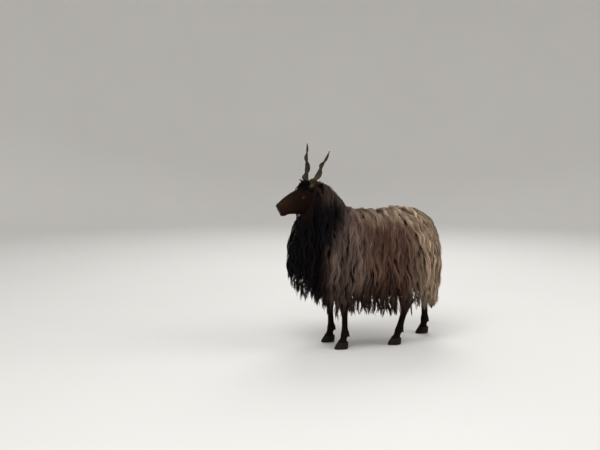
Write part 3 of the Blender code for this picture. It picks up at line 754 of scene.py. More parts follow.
def finish_material(name, paint, plain):
    """A material from a function that gives its colour, roughness and bump height and strength."""
    made = bpy.data.materials.new(name)
    made.use_nodes = True
    tree = made.node_tree
    shader = tree.nodes["Principled BSDF"]
    for socket, value in plain.items():
        shader.inputs[socket].default_value = value
    colour, roughness, height, strength, distance = paint(Pattern(tree))
    tree.links.new(colour.socket, shader.inputs["Base Color"])
    tree.links.new(roughness.socket, shader.inputs["Roughness"])
    sockets = {"Height": height, "Strength": strength, "Distance": distance}
    raised = height.node("ShaderNodeBump", {}, sockets)
    tree.links.new(raised.socket, shader.inputs["Normal"])
    return made


FLANK_BROWN = (0.112, 0.059, 0.042, 1)
SHOULDER_GREY = (0.140, 0.096, 0.080, 1)
NECK_BLACK = (0.0032, 0.0021, 0.0031, 1)
BLEACHED = (0.470, 0.350, 0.252, 1)
HEM_DARK = (0.014, 0.0050, 0.0036, 1)
FACE_BLACK = (0.0058, 0.0022, 0.0011, 1)
MUZZLE_BROWN = (0.021, 0.0064, 0.0015, 1)
NOSE_SKIN = (0.013, 0.0065, 0.0050, 1)
EAR_LINING = (0.020, 0.0095, 0.0060, 1)
# Paler brown that every tuft is lifted towards by its own random share: painted light that stands in
# for the light real hairs catch
FUR_PAINTED_LIGHT = (0.034, 0.0165, 0.0090, 1)
# Painted shade: it darkens the coat's markings on the skin under the wool, standing in for the shadow
# deep in the fleece between the locks
UNDERWOOL_PAINTED_SHADE = (0.42, 0.38, 0.36, 1)
# Horn between its ridges and on them, each from the dark horn's colour to the pale one's
HORN_HOLLOWS = ((0.0085, 0.0050, 0.0022, 1), (0.044, 0.029, 0.015, 1))
HORN_CRESTS = ((0.030, 0.0185, 0.0090, 1), (0.102, 0.073, 0.043, 1))
HORN_END = (0.020, 0.015, 0.011, 1)
HOOF_DARK = (0.0060, 0.0036, 0.0022, 1)
HOOF_LINES = (0.018, 0.0115, 0.0070, 1)
HOOF_SCUFF = (0.075, 0.056, 0.040, 1)
IRIS_BROWN = (0.040, 0.015, 0.004, 1)
IRIS_AMBER = (0.110, 0.046, 0.010, 1)
EYE_RIM = (0.012, 0.008, 0.006, 1)
PUPIL = (0.002, 0.002, 0.002, 1)
FLOOR_GREYS = ((0.66, 0.65, 0.63, 1), (0.70, 0.69, 0.67, 1))


def coat_colour(pattern):
    """The markings that skin and wool share, by their place on the animal."""
    place = pattern.place()
    y, z = place.axis(1), place.axis(2)
    cloud = pattern.noise(place, 9.0, 2.0) - 0.5
    y_soft = y + cloud * 0.10
    z_soft = z + cloud * 0.10
    shoulder = (1 - y_soft.step(-0.16, 0.00)) * y_soft.step(-0.32, -0.24)
    colour = shoulder.blend(FLANK_BROWN, SHOULDER_GREY)
    hem = 1 - z_soft.step(0.23, 0.37)
    colour = (hem * 0.92).blend(colour, HEM_DARK)
    # Bleached over the back, lower down towards the rump, and all the way down behind
    back = (z_soft + y.step(0.10, 0.30) * 0.08).step(0.58, 0.72) * y_soft.step(-0.14, 0.12)
    rear = y_soft.step(0.10, 0.32) * z_soft.step(0.10, 0.26) * 0.78
    colour = back.math("MAXIMUM", rear).blend(colour, BLEACHED)
    front = 1 - (y_soft - z.step(0.42, 0.74) * 0.13).step(-0.33, -0.21)
    nape = z.step(0.68, 0.80) * y.step(-0.32, -0.24)
    return (front * (1 - nape * 0.50)).blend(colour, NECK_BLACK)


def paint_wool(pattern):
    """Strands that are darker at the root and bleached at the tip, each lock in its own tone."""
    tone = pattern.attribute("tone")
    along = pattern.attribute("along")
    unwrap = pattern.node("ShaderNodeUVMap", {"uv_map": "OFBake"})
    fibre = pattern.noise(unwrap.vector("MULTIPLY", (5200.0, 260.0, 0.0)), 1.0, 2.0)
    light = 0.20 + tone * 1.25 + along.step(0.1, 1.0) * 0.35 + (fibre - 0.5) * 0.7
    shade = light.node("ShaderNodeCombineXYZ", {}, {0: light, 1: light, 2: light * 0.97})
    return coat_colour(pattern).tinted(shade), 0.86 - fibre * 0.25, fibre, 0.55, 0.0012


def paint_skin(pattern):
    """Short black-brown hair on face and legs, browner at the muzzle, bare nose skin, painted shade
    under the wool.
    """
    place = pattern.place()
    naked = pattern.attribute("naked")
    hair = pattern.noise(pattern.attribute("lie_along", 1), 1.0, 3.0, 0.6)
    patch = pattern.noise(place, 34.0, 2.0)
    muzzle = pattern.attribute("muzzle") * (0.55 + patch * 0.6)
    face = muzzle.blend(FACE_BLACK, MUZZLE_BROWN)
    face = (hair.step(0.35, 0.75) * 0.35).blend(face, EAR_LINING)
    face = naked.blend(face, NOSE_SKIN)
    # Under the wool the skin carries the coat's markings darkened as painted shade, so that gaps
    # between locks read as shadowed depth
    underwool_in_painted_shade = coat_colour(pattern).tinted(UNDERWOOL_PAINTED_SHADE)
    colour = pattern.attribute("woolly").blend(face, underwool_in_painted_shade)
    pores = pattern.noise(place, 900.0, 2.0)
    height = naked.between(hair, pores * 0.5)
    return colour, naked.between(hair * 0.2 + 0.55, 0.36), height, 0.6, 0.0011


def paint_fur(pattern):
    """Single tufts of the short coat, in the face's own colours lifted by painted light."""
    tone = pattern.attribute("tone")
    face = pattern.attribute("muzzle").blend(FACE_BLACK, MUZZLE_BROWN)
    # Painted light: each tuft is lifted towards a paler brown, by a share that differs at random from
    # tuft to tuft
    face = (tone * 0.55 + 0.15).blend(face, FUR_PAINTED_LIGHT)
    return face, 0.5 + tone * 0.2, pattern.noise(pattern.place(), 700.0, 1.0), 0.2, 0.0004


def paint_horn(pattern):
    """Olive-brown horn, pale on the growth ridges and worn at the tip."""
    place = pattern.place()
    along = pattern.attribute("along")
    tone = pattern.attribute("tone")
    ridge = pattern.attribute("ridge")
    streak = pattern.noise(place.vector("MULTIPLY", (420.0, 420.0, 60.0)), 1.0, 3.0)
    fine = pattern.noise(place, 900.0, 3.0)
    worn = ridge.step(0.35, 0.9) * 0.55 + streak.step(0.4, 0.75) * 0.30
    colour = worn.blend(tone.blend(*HORN_HOLLOWS), tone.blend(*HORN_CRESTS))
    colour = (along.step(0.82, 1.0) * 0.6).blend(colour, HORN_END)
    height = ridge * 0.6 + fine * 0.25 + streak * 0.35
    return colour, 0.66 - along * 0.20, height, 0.6, 0.0009


def paint_hoof(pattern):
    """Dark claw with level growth lines, scuffed pale along the ground edge."""
    place = pattern.place()
    grain = pattern.noise(place.vector("MULTIPLY", (300.0, 300.0, 40.0)), 1.0, 3.0)
    lines = pattern.noise(place.vector("MULTIPLY", (8.0, 8.0, 620.0)), 1.0, 1.0)
    scuff = (1 - place.axis(2).step(0.001, 0.009)) * grain.step(0.4, 0.7)
    colour = (lines.step(0.4, 0.7) * 0.5).blend(HOOF_DARK, HOOF_LINES)
    colour = (scuff * 0.7).blend(colour, HOOF_SCUFF)
    return colour, 0.42 + grain * 0.25, lines * 0.6 + grain * 0.3, 0.5, 0.0007


def paint_eye(pattern):
    """Amber iris with a level slit pupil, in a dark wet eye."""
    gaze = pattern.attribute("gaze", 1)
    seen = gaze.vector("MULTIPLY", (1, 1, 0))
    far = seen.node("ShaderNodeVectorMath", {"operation": "LENGTH"}, {0: seen}, 1)
    fibres = pattern.noise(gaze, 14.0, 3.0)
    iris = fibres.step(0.3, 0.7).blend(IRIS_BROWN, IRIS_AMBER)
    iris = far.step(0.50, 0.64).blend(iris, EYE_RIM)
    slit = gaze.axis(0).math("ABSOLUTE").math("POWER", 3.0) * 4.2
    tall = gaze.axis(1).math("ABSOLUTE").math("POWER", 2.0) * 46.0
    colour = (1 - (slit + tall).step(0.55, 0.95)).blend(iris, PUPIL)
    return colour, 0.10 + fibres * 0.05, fibres, 0.05, 0.0002


def paint_floor(pattern):
    """A plain pale matt floor."""
    place = pattern.node("ShaderNodeTexCoord", {}, {}, 3)
    cloud = pattern.noise(place, 0.9, 2.0)
    grain = pattern.noise(place, 60.0, 2.0)
    return cloud.blend(*FLOOR_GREYS), 0.85 + cloud * 0.1, grain, 0.03, 0.001


WOOL = finish_material("fleece wool", paint_wool, {"Specular IOR Level": 0.09})
SKIN = finish_material("short-haired skin", paint_skin, {"Specular IOR Level": 0.06})
FUR = finish_material("short fur", paint_fur, {"Specular IOR Level": 0.05})
HORN = finish_material("horn", paint_horn, {"Specular IOR Level": 0.16})
HOOF = finish_material("hoof", paint_hoof, {"Specular IOR Level": 0.13})
WET = {"Specular IOR Level": 0.06, "Coat Weight": 0.20, "Coat Roughness": 0.03}
EYE = finish_material("eye", paint_eye, WET)
FLOOR = finish_material("studio floor", paint_floor, {"Specular IOR Level": 0.2})


def carry(obj, name, values, kind="FLOAT"):
    """Stores one value for each point of a mesh under a name."""
    held = obj.data.attributes.new(name, kind, "POINT")
    field = "value" if kind == "FLOAT" else "vector"
    held.data.foreach_set(field, np.ascontiguousarray(values, dtype=np.float32).ravel())


def deliver(obj, material, slot, *nodes):
    """Moves a finished piece to where the solids stand and lets it stand for its nodes."""
    obj.data.transform(Matrix.Translation(ORIGIN_SHIFT))
    obj.data.materials.clear()
    obj.data.materials.append(material)
    obj.data.shade_smooth()
    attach(obj, "root")
    if nodes:
        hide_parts(*nodes)
    return obj


# Skin


def make_ear(side):
    """A leaf-shaped ear with a hollow cup, open to the front."""
    root = in_head(EAR_ROOT, side)
    along = mirrored(EAR_TIP, side) - root
    ahead = along.normalized()
    cup = square_to(mirrored(EAR_FACES, side), ahead)
    across = ahead.cross(cup)
    rings = []
    for share in np.linspace(0, 1, 34):
        leaf = 0.50 + 0.50 * math.sin(math.pi * min(1, share * 1.15) ** 0.8)
        half = max(EAR_WIDTH / 2 * leaf * (1 - share**5), 0.0022)
        hollow = EAR_CUP * max(0, math.sin(math.pi * share**0.6)) ** 0.8
        wall = EAR_WALL * (1 - 0.40 * share) + 0.006 * (1 - share) ** 4
        middle = root + along * share
        outer, inner = [], []
        for v in np.linspace(-1, 1, 19):
            bow = 1 - v * v
            edge = middle + across * (half * v)
            rim = EAR_RIM * (1 - abs(v)) ** 0.5
            outer.append(edge - cup * (bow * (hollow + wall) + rim))
            inner.append(edge - cup * (bow * hollow - wall - rim))
        rings.append(outer + inner[::-1])
    return loft(f"ear_{side_name(side)}_form", rings)


def lid_axes(side):
    """The eye's middle and its own axes: level towards the nose, up, and out."""
    turn = head_frame().to_3x3()
    out = (turn @ mirrored(EYE_FACES, side)).normalized()
    level = square_to(turn @ EYE_LEVEL, out)
    up = out.cross(level) * side
    return in_head(EYE_PLACE, side), level, -up if up.z < 0 else up, out


def lid_outline(angle):
    """The opening between the lids at one angle, seen square on, with a drawn-out inner corner."""
    length, above, below = LID_OPENING
    c, s = math.cos(angle), math.sin(angle)
    flat = length * (LID_CORNER if c > 0 else 1.0) * c
    return flat, (above if s > 0 else below) * math.copysign(abs(s) ** 1.15, s)


def make_lids(side):
    """Both lids as one rolled rim of skin that lies on the eyeball."""
    middle, level, up, out = lid_axes(side)
    radius = EYE_RADIUS + LID_GAP
    points = []
    for k in range(LID_STEPS):
        angle = math.tau * k / LID_STEPS
        flat, high = lid_outline(angle)
        rise = math.sqrt(max(radius**2 - flat**2 - high**2, 1e-8))
        spot = middle + level * flat + up * high + out * rise
        outward = (level * flat + up * high + out * rise).normalized()
        edge = square_to((level * flat * 0.8 + up * high * 1.6).normalized(), outward)
        thick = LID_THICKNESS + 0.0008 * max(0, math.sin(angle))
        for j in range(LID_SIDES):
            turn = math.tau * j / LID_SIDES
            wide = thick * 1.25 * math.cos(turn) + thick * 0.8
            points.append(spot + edge * wide + outward * (thick * math.sin(turn)))
    return closed_mesh("lids", points, grid_faces(LID_STEPS, LID_SIDES, looped=True))


def sculpt_head(head):
    """Presses the eye sockets, nostrils, mouth and folds into the fused head."""
    places = places_of(head)
    normals = places_of(head, "normal")
    local = seen_from(head_frame(), places)
    x, f, u = local.T

    # Line of the mouth, with a roll of lip on both sides of it
    (corner, corner_up), (front, front_up) = MOUTH_CORNER, MOUTH_FRONT
    share = np.clip((f - corner) / (front - corner), 0, 1)
    line = corner_up + (front_up - corner_up) * share - MOUTH_SAG * np.sin(math.pi * share)
    off = np.hypot(u - line, np.minimum(f - corner, 0) * 1.4)
    moved = LIP_ROLL * bump(off, 0.0045, 0.0022) * ease(f, corner, corner + 0.02)
    moved -= MOUTH_DEPTH * bump(off, 0, 0.0017) * ease(f, corner - 0.008, corner + 0.012)
    # Groove between the nostrils, down to the lip
    moved -= LIP_GROOVE * bump(x, 0, 0.0016) * ease(f, 0.190, 0.198) * ease(u, -0.073, -0.065)
    for depth, ahead, long, height, tall in FACE_FOLDS:
        moved -= depth * bump(f, ahead, long) * bump(u, height, tall)
    # Soft wrinkles above the nostril
    wrinkle = NOSE_WRINKLE * np.sin((f * 0.8 + u * 1.5) * 1900) * bump(f, 0.178, 0.014)
    moved += wrinkle * ease(np.abs(x), 0.010, 0.020)
    places = places + normals * moved[:, None]

    # Nostrils, each a slit that curls outwards
    for hand in (1, -1):
        slit = (
            Matrix.Translation(mirrored(NOSTRIL_PLACE, hand))
            @ Matrix.Rotation(-NOSTRIL_SLOPE, 4, "X")
            @ Matrix.Rotation(-hand * NOSTRIL_FLARE, 4, "Z")
            @ Matrix.Diagonal((*NOSTRIL_SIZE, 1))
        )
        a, b, c = seen_from(slit, local).T
        reach = np.sqrt(a**2 * 0.8 + b**2 * 0.85 + (c + 0.55 * b**2 - 0.2) ** 2 * 0.30)
        pit = NOSTRIL_DEPTH * (1 - ease(reach, 0.55, 1.05))
        rim = NOSTRIL_RIM * bump(reach, 1.35, 0.28) * (f > 0.172)
        inward = np.array(head_frame().to_3x3()) @ np.array((-0.25 * hand, -1, 0.12))
        places = places + inward * pit[:, None] + normals * rim[:, None]

    # Sockets: what lies in the opening of the lids drops behind the eyeball
    length, above, below = LID_OPENING
    for hand in (1, -1):
        middle, level, up, out = (np.array(v) for v in lid_axes(hand))
        from_eye = places - middle
        flat, high, rise = from_eye @ level, from_eye @ up, from_eye @ out
        tall = np.where(high > 0, above, below) + LID_GAP
        wide = np.where(flat > 0, length * LID_CORNER, length) + 0.0010
        drop = (np.hypot(flat / wide, high / tall) < 1) & (rise > 0)
        distance = np.linalg.norm(from_eye, axis=1)
        places[drop] = middle + from_eye[drop] / distance[drop, None] * (EYE_RADIUS - SOCKET_DEPTH)
    set_places(head, places)


def make_head():
    """The head in one skin: skull, cheeks, brows, lips, ears and lids."""
    skull = loft("skull", ringed(head_point, smoothed(HEAD, 56), 64))
    forms = [ellipsoid(*lip) for lip in LIPS]
    for place, size in FACE_FORMS:
        forms += [ellipsoid(mirrored(place, side), size) for side in (1, -1)]
    for side in (1, -1):
        forms.append(ellipsoid(mirrored(EYE_PLACE, side), EYE_BULGE))
        forms.append(make_ear(side))
        x, f, u = HORN_ROOT
        forms.append(ellipsoid((x * side * 0.97, f, u - 0.004), HORN_SEAT))
    head = remeshed(joined("head_skin", [skull, *forms]), HEAD_GRAIN, 5, 0.55)
    sculpt_head(head)
    return united(head, [make_lids(side) for side in (1, -1)])


def make_leg(name):
    """One leg with knee or hock, tendons, fetlock and pastern."""
    x, y = FEET[name]
    rows = smoothed(LEG_ROWS[name], 44)
    spread = math.copysign(LEG_SPREAD, x)
    path = [Vector((x + spread * (row[1] - CORONET), y + row[0], row[1])) for row in rows]
    leg = tube(f"leg_{name}_form", path, [(row[2], row[3]) for row in rows], 28, level=True)
    places = places_of(leg)
    z = places[:, 2]
    track = np.array(path)
    middle_x, middle_y = (np.interp(z, track[:, 2], track[:, k]) for k in (0, 1))
    back = (places[:, 1] - middle_y) / np.interp(z, track[:, 2], np.array(rows)[:, 3])
    # Groove on each side between cannon bone and tendon
    cannon = ease(z, 0.088, 0.110) * (1 - ease(z, 0.175, 0.200))
    pinch = 1 - TENDON_GROOVE * cannon * bump(back, 0.35, 0.26)
    places[:, 0] = middle_x + (places[:, 0] - middle_x) * pinch
    # Bulge over the heel, and the point of the hock or the flat front of the knee
    places[:, 1] += HEEL_BULGE * bump(z, 0.066, 0.010) * ease(back, 0.0, 0.9)
    if name.startswith("hind"):
        places[:, 1] += HOCK_POINT * bump(z, KNEE_HEIGHT + 0.012, 0.013) * ease(back, 0.3, 1.0)
    else:
        places[:, 1] += KNEE_FRONT * bump(z, KNEE_HEIGHT, 0.016) * ease(-back, 0.3, 1.0)
    set_places(leg, places)
    return remeshed(leg, LEG_GRAIN, 2, 0.4)


def coat_form(share, neck_share, grain, rounds):
    """The trunk and neck together, each at its share of the coat's depth."""
    trunk_rows = smoothed(mixed(TRUNK_BARE, TRUNK_COAT, share), 48)
    neck_rows = smoothed(mixed(NECK_BARE, NECK_COAT, neck_share), 30)
    trunk = loft("trunk", ringed(trunk_point, trunk_rows, 64))
    neck = loft("neck", ringed(neck_point, neck_rows, 48))
    return remeshed(joined("coat_form", [trunk, neck]), grain, rounds)


def tail_form(name, count, share, sides):
    """The tail at a share of its full width, from a count of rows."""
    rows = smoothed(TAIL, count)
    path = [Vector((0, row[0], row[1])) for row in rows]
    return tube(name, path, [(row[2] * share, row[3] * share) for row in rows], sides)


def make_skin():
    """One skin over the whole animal, with what each part of it carries."""
    body = coat_form(SKIN_SHARE, NECK_SKIN_SHARE, SKIN_GRAIN, 3)
    body.name = "skin"
    legs = [make_leg(name) for name in FEET]
    united(body, [*legs, tail_form("tail_form", 16, TAIL_FLESH, 12), make_head()])
    mark_skin(body)
    return body


def by_part(legs, ears, on_legs, on_ears, on_face):
    """A row for each point of the skin, chosen by whether it is on a leg, an ear or the face."""
    return np.where(legs[:, None] > 0.5, on_legs, np.where(ears[:, None] > 0.5, on_ears, on_face))


def mark_skin(skin):
    """Stores where the skin is woolly, naked or muzzle-brown, and how its short hair lies."""
    places = places_of(skin)
    normals = places_of(skin, "normal")
    local = seen_from(head_frame(), places)
    x, f, u = local.T
    z = places[:, 2]
    legs = 1 - ease(z, 0.30, 0.36)
    face = ease(f, -0.02, 0.02) * ease(u, -0.146, -0.132)
    ears = ease(np.abs(x), 0.060, 0.070) * (z > 0.70)
    nose = ease(f, 0.188, 0.196) * ease(u, -0.071, -0.063) * (1 - ease(u, -0.038, -0.030))
    mouth = ease(f, 0.141, 0.151) * bump(u, -0.076, 0.004)
    rims = np.zeros(len(places))
    for hand in (1, -1):
        far = np.linalg.norm(places - np.array(in_head(EYE_PLACE, hand)), axis=1)
        rims = np.maximum(rims, 1 - ease(far, 0.0150, 0.0165))
    carry(skin, "woolly", (1 - np.maximum.reduce([legs, face, ears])) * (z > 0.20))
    carry(skin, "naked", np.clip(np.maximum.reduce([nose, mouth * 0.8, rims * 0.9]), 0, 1))
    carry(skin, "muzzle", ease(f, 0.110, 0.182) * face)

    # Where the short coat grows, and how long
    shut = 1 - np.clip(nose + mouth + rims, 0, 1)
    throat = ease(f, -0.02, 0.02) * ease(u, -0.21, -0.19)
    carry(skin, "furred_face", np.maximum(throat, ears) * (1 - legs) * shut)
    outside_wool = (z < 0.27) | (places[:, 1] > 0.33)
    carry(skin, "furred_legs", legs * outside_wool * (z > CORONET - 0.001))
    size = 1 - 0.62 * ease(f, 0.092, 0.182)
    size = np.where(ears > 0.5, 0.60, size)
    size = np.where(legs > 0.5, 0.75 + 0.5 * (1 - ease(z, 0.034, 0.050)), size)
    carry(skin, "fur_size", size)

    # Which way it lies: back over the face, out along the ears, down the legs
    hand = np.sign(x)[:, None]
    turn = np.array(head_frame().to_3x3())
    over_face = [np.sign(x) * 0.12, np.full(len(x), -1.0), -0.35 * ease(-u, 0.02, 0.08)]
    ear_run = np.array(EAR_TIP - in_head(EAR_ROOT))
    over_ear = np.concatenate([hand * ear_run[0], np.tile(ear_run[1:], (len(x), 1))], 1)
    lies = by_part(legs, ears, np.array((0.0, 0.0, -1.0)), over_ear, np.stack(over_face, -1) @ turn.T)
    lies = unit(lies - normals * np.sum(lies * normals, 1, keepdims=True))
    carry(skin, "lie", lies, "FLOAT_VECTOR")
    carry(skin, "unwrap", short_coat_unwrap(places, local, normals, ears, legs), "FLOAT_VECTOR")

    # A place stretched along that lie, for the grain of the hair
    down = places * np.array((1300.0, 1300.0, 220.0))
    out = local * np.array((230.0, 1400.0, 1400.0))
    back = local * np.array((1500.0, 260.0, 1500.0))
    carry(skin, "lie_along", by_part(legs, ears, down, out, back), "FLOAT_VECTOR")


def short_coat_unwrap(places, local, normals, ears, legs):
    """Where places lie on the skin of head, ears and legs laid flat, each in its own area."""
    x, f, u = local.T
    round_head = 0.5 + np.arctan2(x, u + 0.06) / math.tau
    head = np.stack([0.02 + 0.96 * round_head, 0.02 + 0.70 * (f + 0.05) / 0.29], -1)
    out = np.clip((np.abs(x) - 0.03) / 0.13, 0, 1)
    front = (normals[:, 1] < 0) * 0.125
    up = 0.76 + 0.4 * np.clip(u + 0.08, 0, 0.2)
    ear = np.stack([0.02 + 0.46 * out + 0.5 * (x > 0), up + front], -1)
    column = np.zeros(len(x))
    around = np.zeros(len(x))
    for index, (name, (foot_x, foot_y)) in enumerate(FEET.items()):
        rows = np.array(LEG_ROWS[name])
        ahead = places[:, 1] - foot_y - np.interp(places[:, 2], rows[:, 1], rows[:, 0])
        mine = (np.sign(places[:, 0]) == np.sign(foot_x)) & (np.abs(ahead) < 0.08)
        column = np.where(mine, index, column)
        angle = np.arctan2(places[:, 0] - foot_x, ahead) / math.tau + 0.5
        around = np.where(mine, angle, around)
    leg = np.stack([(column + 0.06 + 0.88 * around) / 4, 0.03 + 0.94 * places[:, 2] / 0.32], -1)
    return np.concatenate([by_part(legs, ears, leg, ear, head), np.zeros((len(x), 1))], 1)


def fur_tree():
    """The node tree that plants short tufts on a surface, along the lie that it carries."""
    tree = bpy.data.node_groups.new("short_coat", "GeometryNodeTree")
    sockets = {"Surface": "Geometry", "Where": "String", "Seed": "Int"}
    sockets |= dict.fromkeys(("Spacing", "Length", "Half Width", "Lift", "Bend", "Patch"), "Float")
    for name, kind in sockets.items():
        tree.interface.new_socket(name, in_out="INPUT", socket_type=f"NodeSocket{kind}")
    tree.interface.new_socket("Tufts", in_out="OUTPUT", socket_type="NodeSocketGeometry")
    given = Pattern(tree).node("NodeGroupInput")

    def carried(name, kind="FLOAT_VECTOR"):
        return given.node("GeometryNodeInputNamedAttribute", {"data_type": kind}, {"Name": name})

    def stored(geometry, name, value, kind, domain):
        settings = {"data_type": kind, "domain": domain}
        values = {"Geometry": geometry, "Name": name, "Value": value}
        return given.node("GeometryNodeStoreNamedAttribute", settings, values)

    def drawn(kind, sockets, out=0):
        return given.node("FunctionNodeRandomValue", {"data_type": kind}, sockets, out)

    # One tuft: a slim cone that bows down towards the skin
    length = given.other("Length")
    shape = {"Vertices": 3, "Side Segments": 2, "Radius Top": 0.0, "Depth": length}
    shape["Radius Bottom"] = given.other("Half Width")
    cone = given.node("GeometryNodeMeshCone", {}, shape, "Mesh")
    share = given.node("GeometryNodeInputPosition").axis(2).math("DIVIDE", length)
    sag = share * share * length * given.other("Bend") * -1.0
    offset = sag.node("ShaderNodeCombineXYZ", {}, {0: sag, 1: 0.0, 2: 0.0})
    bowed = given.node("GeometryNodeSetPosition", {}, {"Geometry": cone, "Offset": offset})
    tuft = stored(bowed, "tuft_uv", cone.other("UV Map"), "FLOAT_VECTOR", "CORNER")

    # Their roots, each with its own tone, lean and size
    scatter = {
        "Mesh": given.other("Surface"),
        "Distance Min": given.other("Spacing"),
        "Density Max": 1.0e6,
        "Density Factor": carried(given.other("Where"), "FLOAT"),
        "Seed": given.other("Seed"),
    }
    evenly = {"distribute_method": "POISSON"}
    roots = given.node("GeometryNodeDistributePointsOnFaces", evenly, scatter, "Points")
    toned = stored(roots, "tone", drawn("FLOAT", {"Seed": given.other("Seed")}, 1), "FLOAT", "POINT")
    upright = roots.other("Normal")
    stray = drawn("FLOAT_VECTOR", {0: (-0.22, -0.22, -0.22), 1: (0.22, 0.22, 0.22), "Seed": 5})
    way = carried("lie").vector("ADD", upright.scaled(given.other("Lift"))).vector("ADD", stray)
    axes = {"primary_axis": "Z", "secondary_axis": "X"}
    facing = {"Primary Axis": way, "Secondary Axis": upright}
    turned = given.node("FunctionNodeAxesToRotation", axes, facing)
    scale = carried("fur_size", "FLOAT") * drawn("FLOAT", {2: 0.65, 3: 1.25, "Seed": 9}, 1)
    planting = {"Points": toned, "Instance": tuft, "Rotation": turned, "Scale": scale}
    planted = given.node("GeometryNodeInstanceOnPoints", {}, planting)
    solid = given.node("GeometryNodeRealizeInstances", {}, {"Geometry": planted})

    # Each tuft is a small patch of the unwrap, at its root's place
    patch = carried("tuft_uv").vector("SUBTRACT", (0.5, 0.5, 0.0)).scaled(given.other("Patch"))
    flat = carried("unwrap").vector("ADD", patch)
    dressed = stored(solid, "OFBake", flat, "FLOAT2", "CORNER")
    for name in ("lie", "unwrap", "tuft_uv", "fur_size", "lie_along", "furred_face", "furred_legs"):
        dressed = given.node("GeometryNodeRemoveAttribute", {}, {0: dressed, "Name": name})
    given.node("NodeGroupOutput", {}, {"Tufts": dressed}, None)
    return tree


def make_short_coat(skin, where, tree):
    """The tufts that stand off the short-haired skin of one part, as plain mesh."""
    obj = put(f"short_coat_{where}", skin.data.copy())
    modifier = obj.modifiers.new("short coat", "NODES")
    modifier.node_group = tree
    values = {
        "Where": f"furred_{where}",
        "Spacing": FUR_SPACING[where],
        "Length": FUR_LENGTH,
        "Half Width": FUR_HALF,
        "Lift": FUR_LIFT,
        "Bend": FUR_BEND,
        "Patch": BAKE_PATCH,
        "Seed": SEED,
    }
    for item in tree.interface.items_tree:
        if item.name in values and item.in_out == "INPUT":
            modifier[item.identifier] = values[item.name]
    return deliver(applied(obj), FUR, "face")


# Eyes, horns and claws


def make_eye(side):
    """An eyeball with a raised cornea, two thirds of its depth in the head."""
    middle, level, up, out = lid_axes(side)
    bpy.ops.mesh.primitive_uv_sphere_add(segments=48, ring_count=32, radius=1)
    eye = bpy.context.object
    eye.name = f"eyeball_{side_name(side)}"
    turn = Matrix((level, up, out)).transposed().to_4x4()
    places = places_of(eye)
    carry(eye, "gaze", places, "FLOAT_VECTOR")
    bulge = 1 + 0.05 * ease(places[:, 2], 0.62, 0.92)
    set_places(eye, places * bulge[:, None] * EYE_RADIUS)
    eye.data.transform(Matrix.Translation(middle) @ turn)
    return deliver(eye, EYE, "eye", f"eye_{side_name(side)}")


def make_horn(side):
    """A corkscrew horn with growth ridges: its keeled section turns as its middle winds."""
    root = in_head(HORN_ROOT, side)
    axis = HORN_TIPS[side] - root
    ahead = axis.normalized()
    across = square_to(Vector((side, 0, 0)), ahead)
    back = ahead.cross(across) * side
    rings, alongs, ridges = [], [], []
    for k in range(HORN_RINGS):
        share = k / (HORN_RINGS - 1)
        turn = math.tau * HORN_TURNS * (share - HORN_PHASE)
        radius = HORN_TIP_RADIUS + (HORN_RADIUS - HORN_TIP_RADIUS) * (1 - share) ** 0.8
        radius *= math.sqrt(max(0.02, 1 - max(0, (share - 0.985) / 0.015) ** 2))
        swing = HORN_SWING * min(1, 6 * share) * (1 - share) ** 0.6
        middle = root + axis * share
        middle += (across * math.cos(turn) + back * math.sin(turn)) * swing
        # Growth ridges, unevenly spaced, that fade out towards the tip
        grown = share**0.85
        ridge = 0.5 + 0.5 * math.sin(math.tau * (grown * HORN_RIDGES + 0.35 * math.sin(grown * 41)))
        coarse = max(0, 1 - share * 1.25)
        ring = []
        for j in range(HORN_SIDES):
            angle = math.tau * j / HORN_SIDES
            bent = angle - turn
            reach = radius * (1 + HORN_KEEL * math.cos(2 * bent) - 0.05 * math.cos(6 * bent))
            reach += HORN_RIDGE_HEIGHT * coarse * (ridge - 0.5) * (0.6 + 0.4 * math.cos(bent))
            ring.append(middle + (across * math.cos(angle) + back * math.sin(angle)) * reach)
        alongs += [share] * HORN_SIDES
        ridges += [ridge * coarse] * HORN_SIDES
        rings.append(ring)
    horn = loft(f"horn_sheath_{side_name(side)}", rings)
    carry(horn, "along", [*alongs, 0, 1])
    carry(horn, "ridge", [*ridges, 0, 0])
    carry(horn, "tone", np.full(len(alongs) + 2, 0.75 if side > 0 else 0.15))
    return deliver(horn, HORN, "horn", f"horn_{side_name(side)}")


def claw_side(name, inner):
    """Which way one claw of a foot lies from its middle, and the word for it."""
    away = math.copysign(1, FEET[name][0])
    return (-away, "inner") if inner else (away, "outer")


def make_claw(name, inner):
    """Half a hoof: flat below, upright outside, pointed at the toe, with rounded walls."""
    x, y = FEET[name]
    outward, word = claw_side(name, inner)
    near = CLAW_SPLIT / 2
    outline = (
        (near, -CLAW_TOE),
        (near, CLAW_HEEL),
        (near + 0.55 * CLAW_WIDTH, CLAW_HEEL + 0.002),
        (near + CLAW_WIDTH, CLAW_HEEL * 0.35),
        (near + 0.98 * CLAW_WIDTH, -0.35 * CLAW_TOE),
        (near + 0.55 * CLAW_WIDTH, -0.86 * CLAW_TOE),
        (near + 0.2 * CLAW_WIDTH, -1.02 * CLAW_TOE),
    )
    closed = [*outline, outline[0]]
    rim = [row_at(closed, place) for place in np.linspace(0, len(outline), 43)[:-1]]
    rings = []
    for z, shrink, shift in [(0, 0.96, 0), (0.0012, 1, 0), *smoothed(CLAW_LEVELS, 14)[1:]]:
        ring = []
        for across, ahead in rim:
            wide = near + (across - near) * shrink
            ring.append(Vector((x + outward * wide, y + ahead * shrink + shift, z)))
        rings.append(ring)
    claw = loft(f"claw_{name}_{word}", rings)
    return deliver(claw, HOOF, "hoof", f"hoof_{name}_{word}")


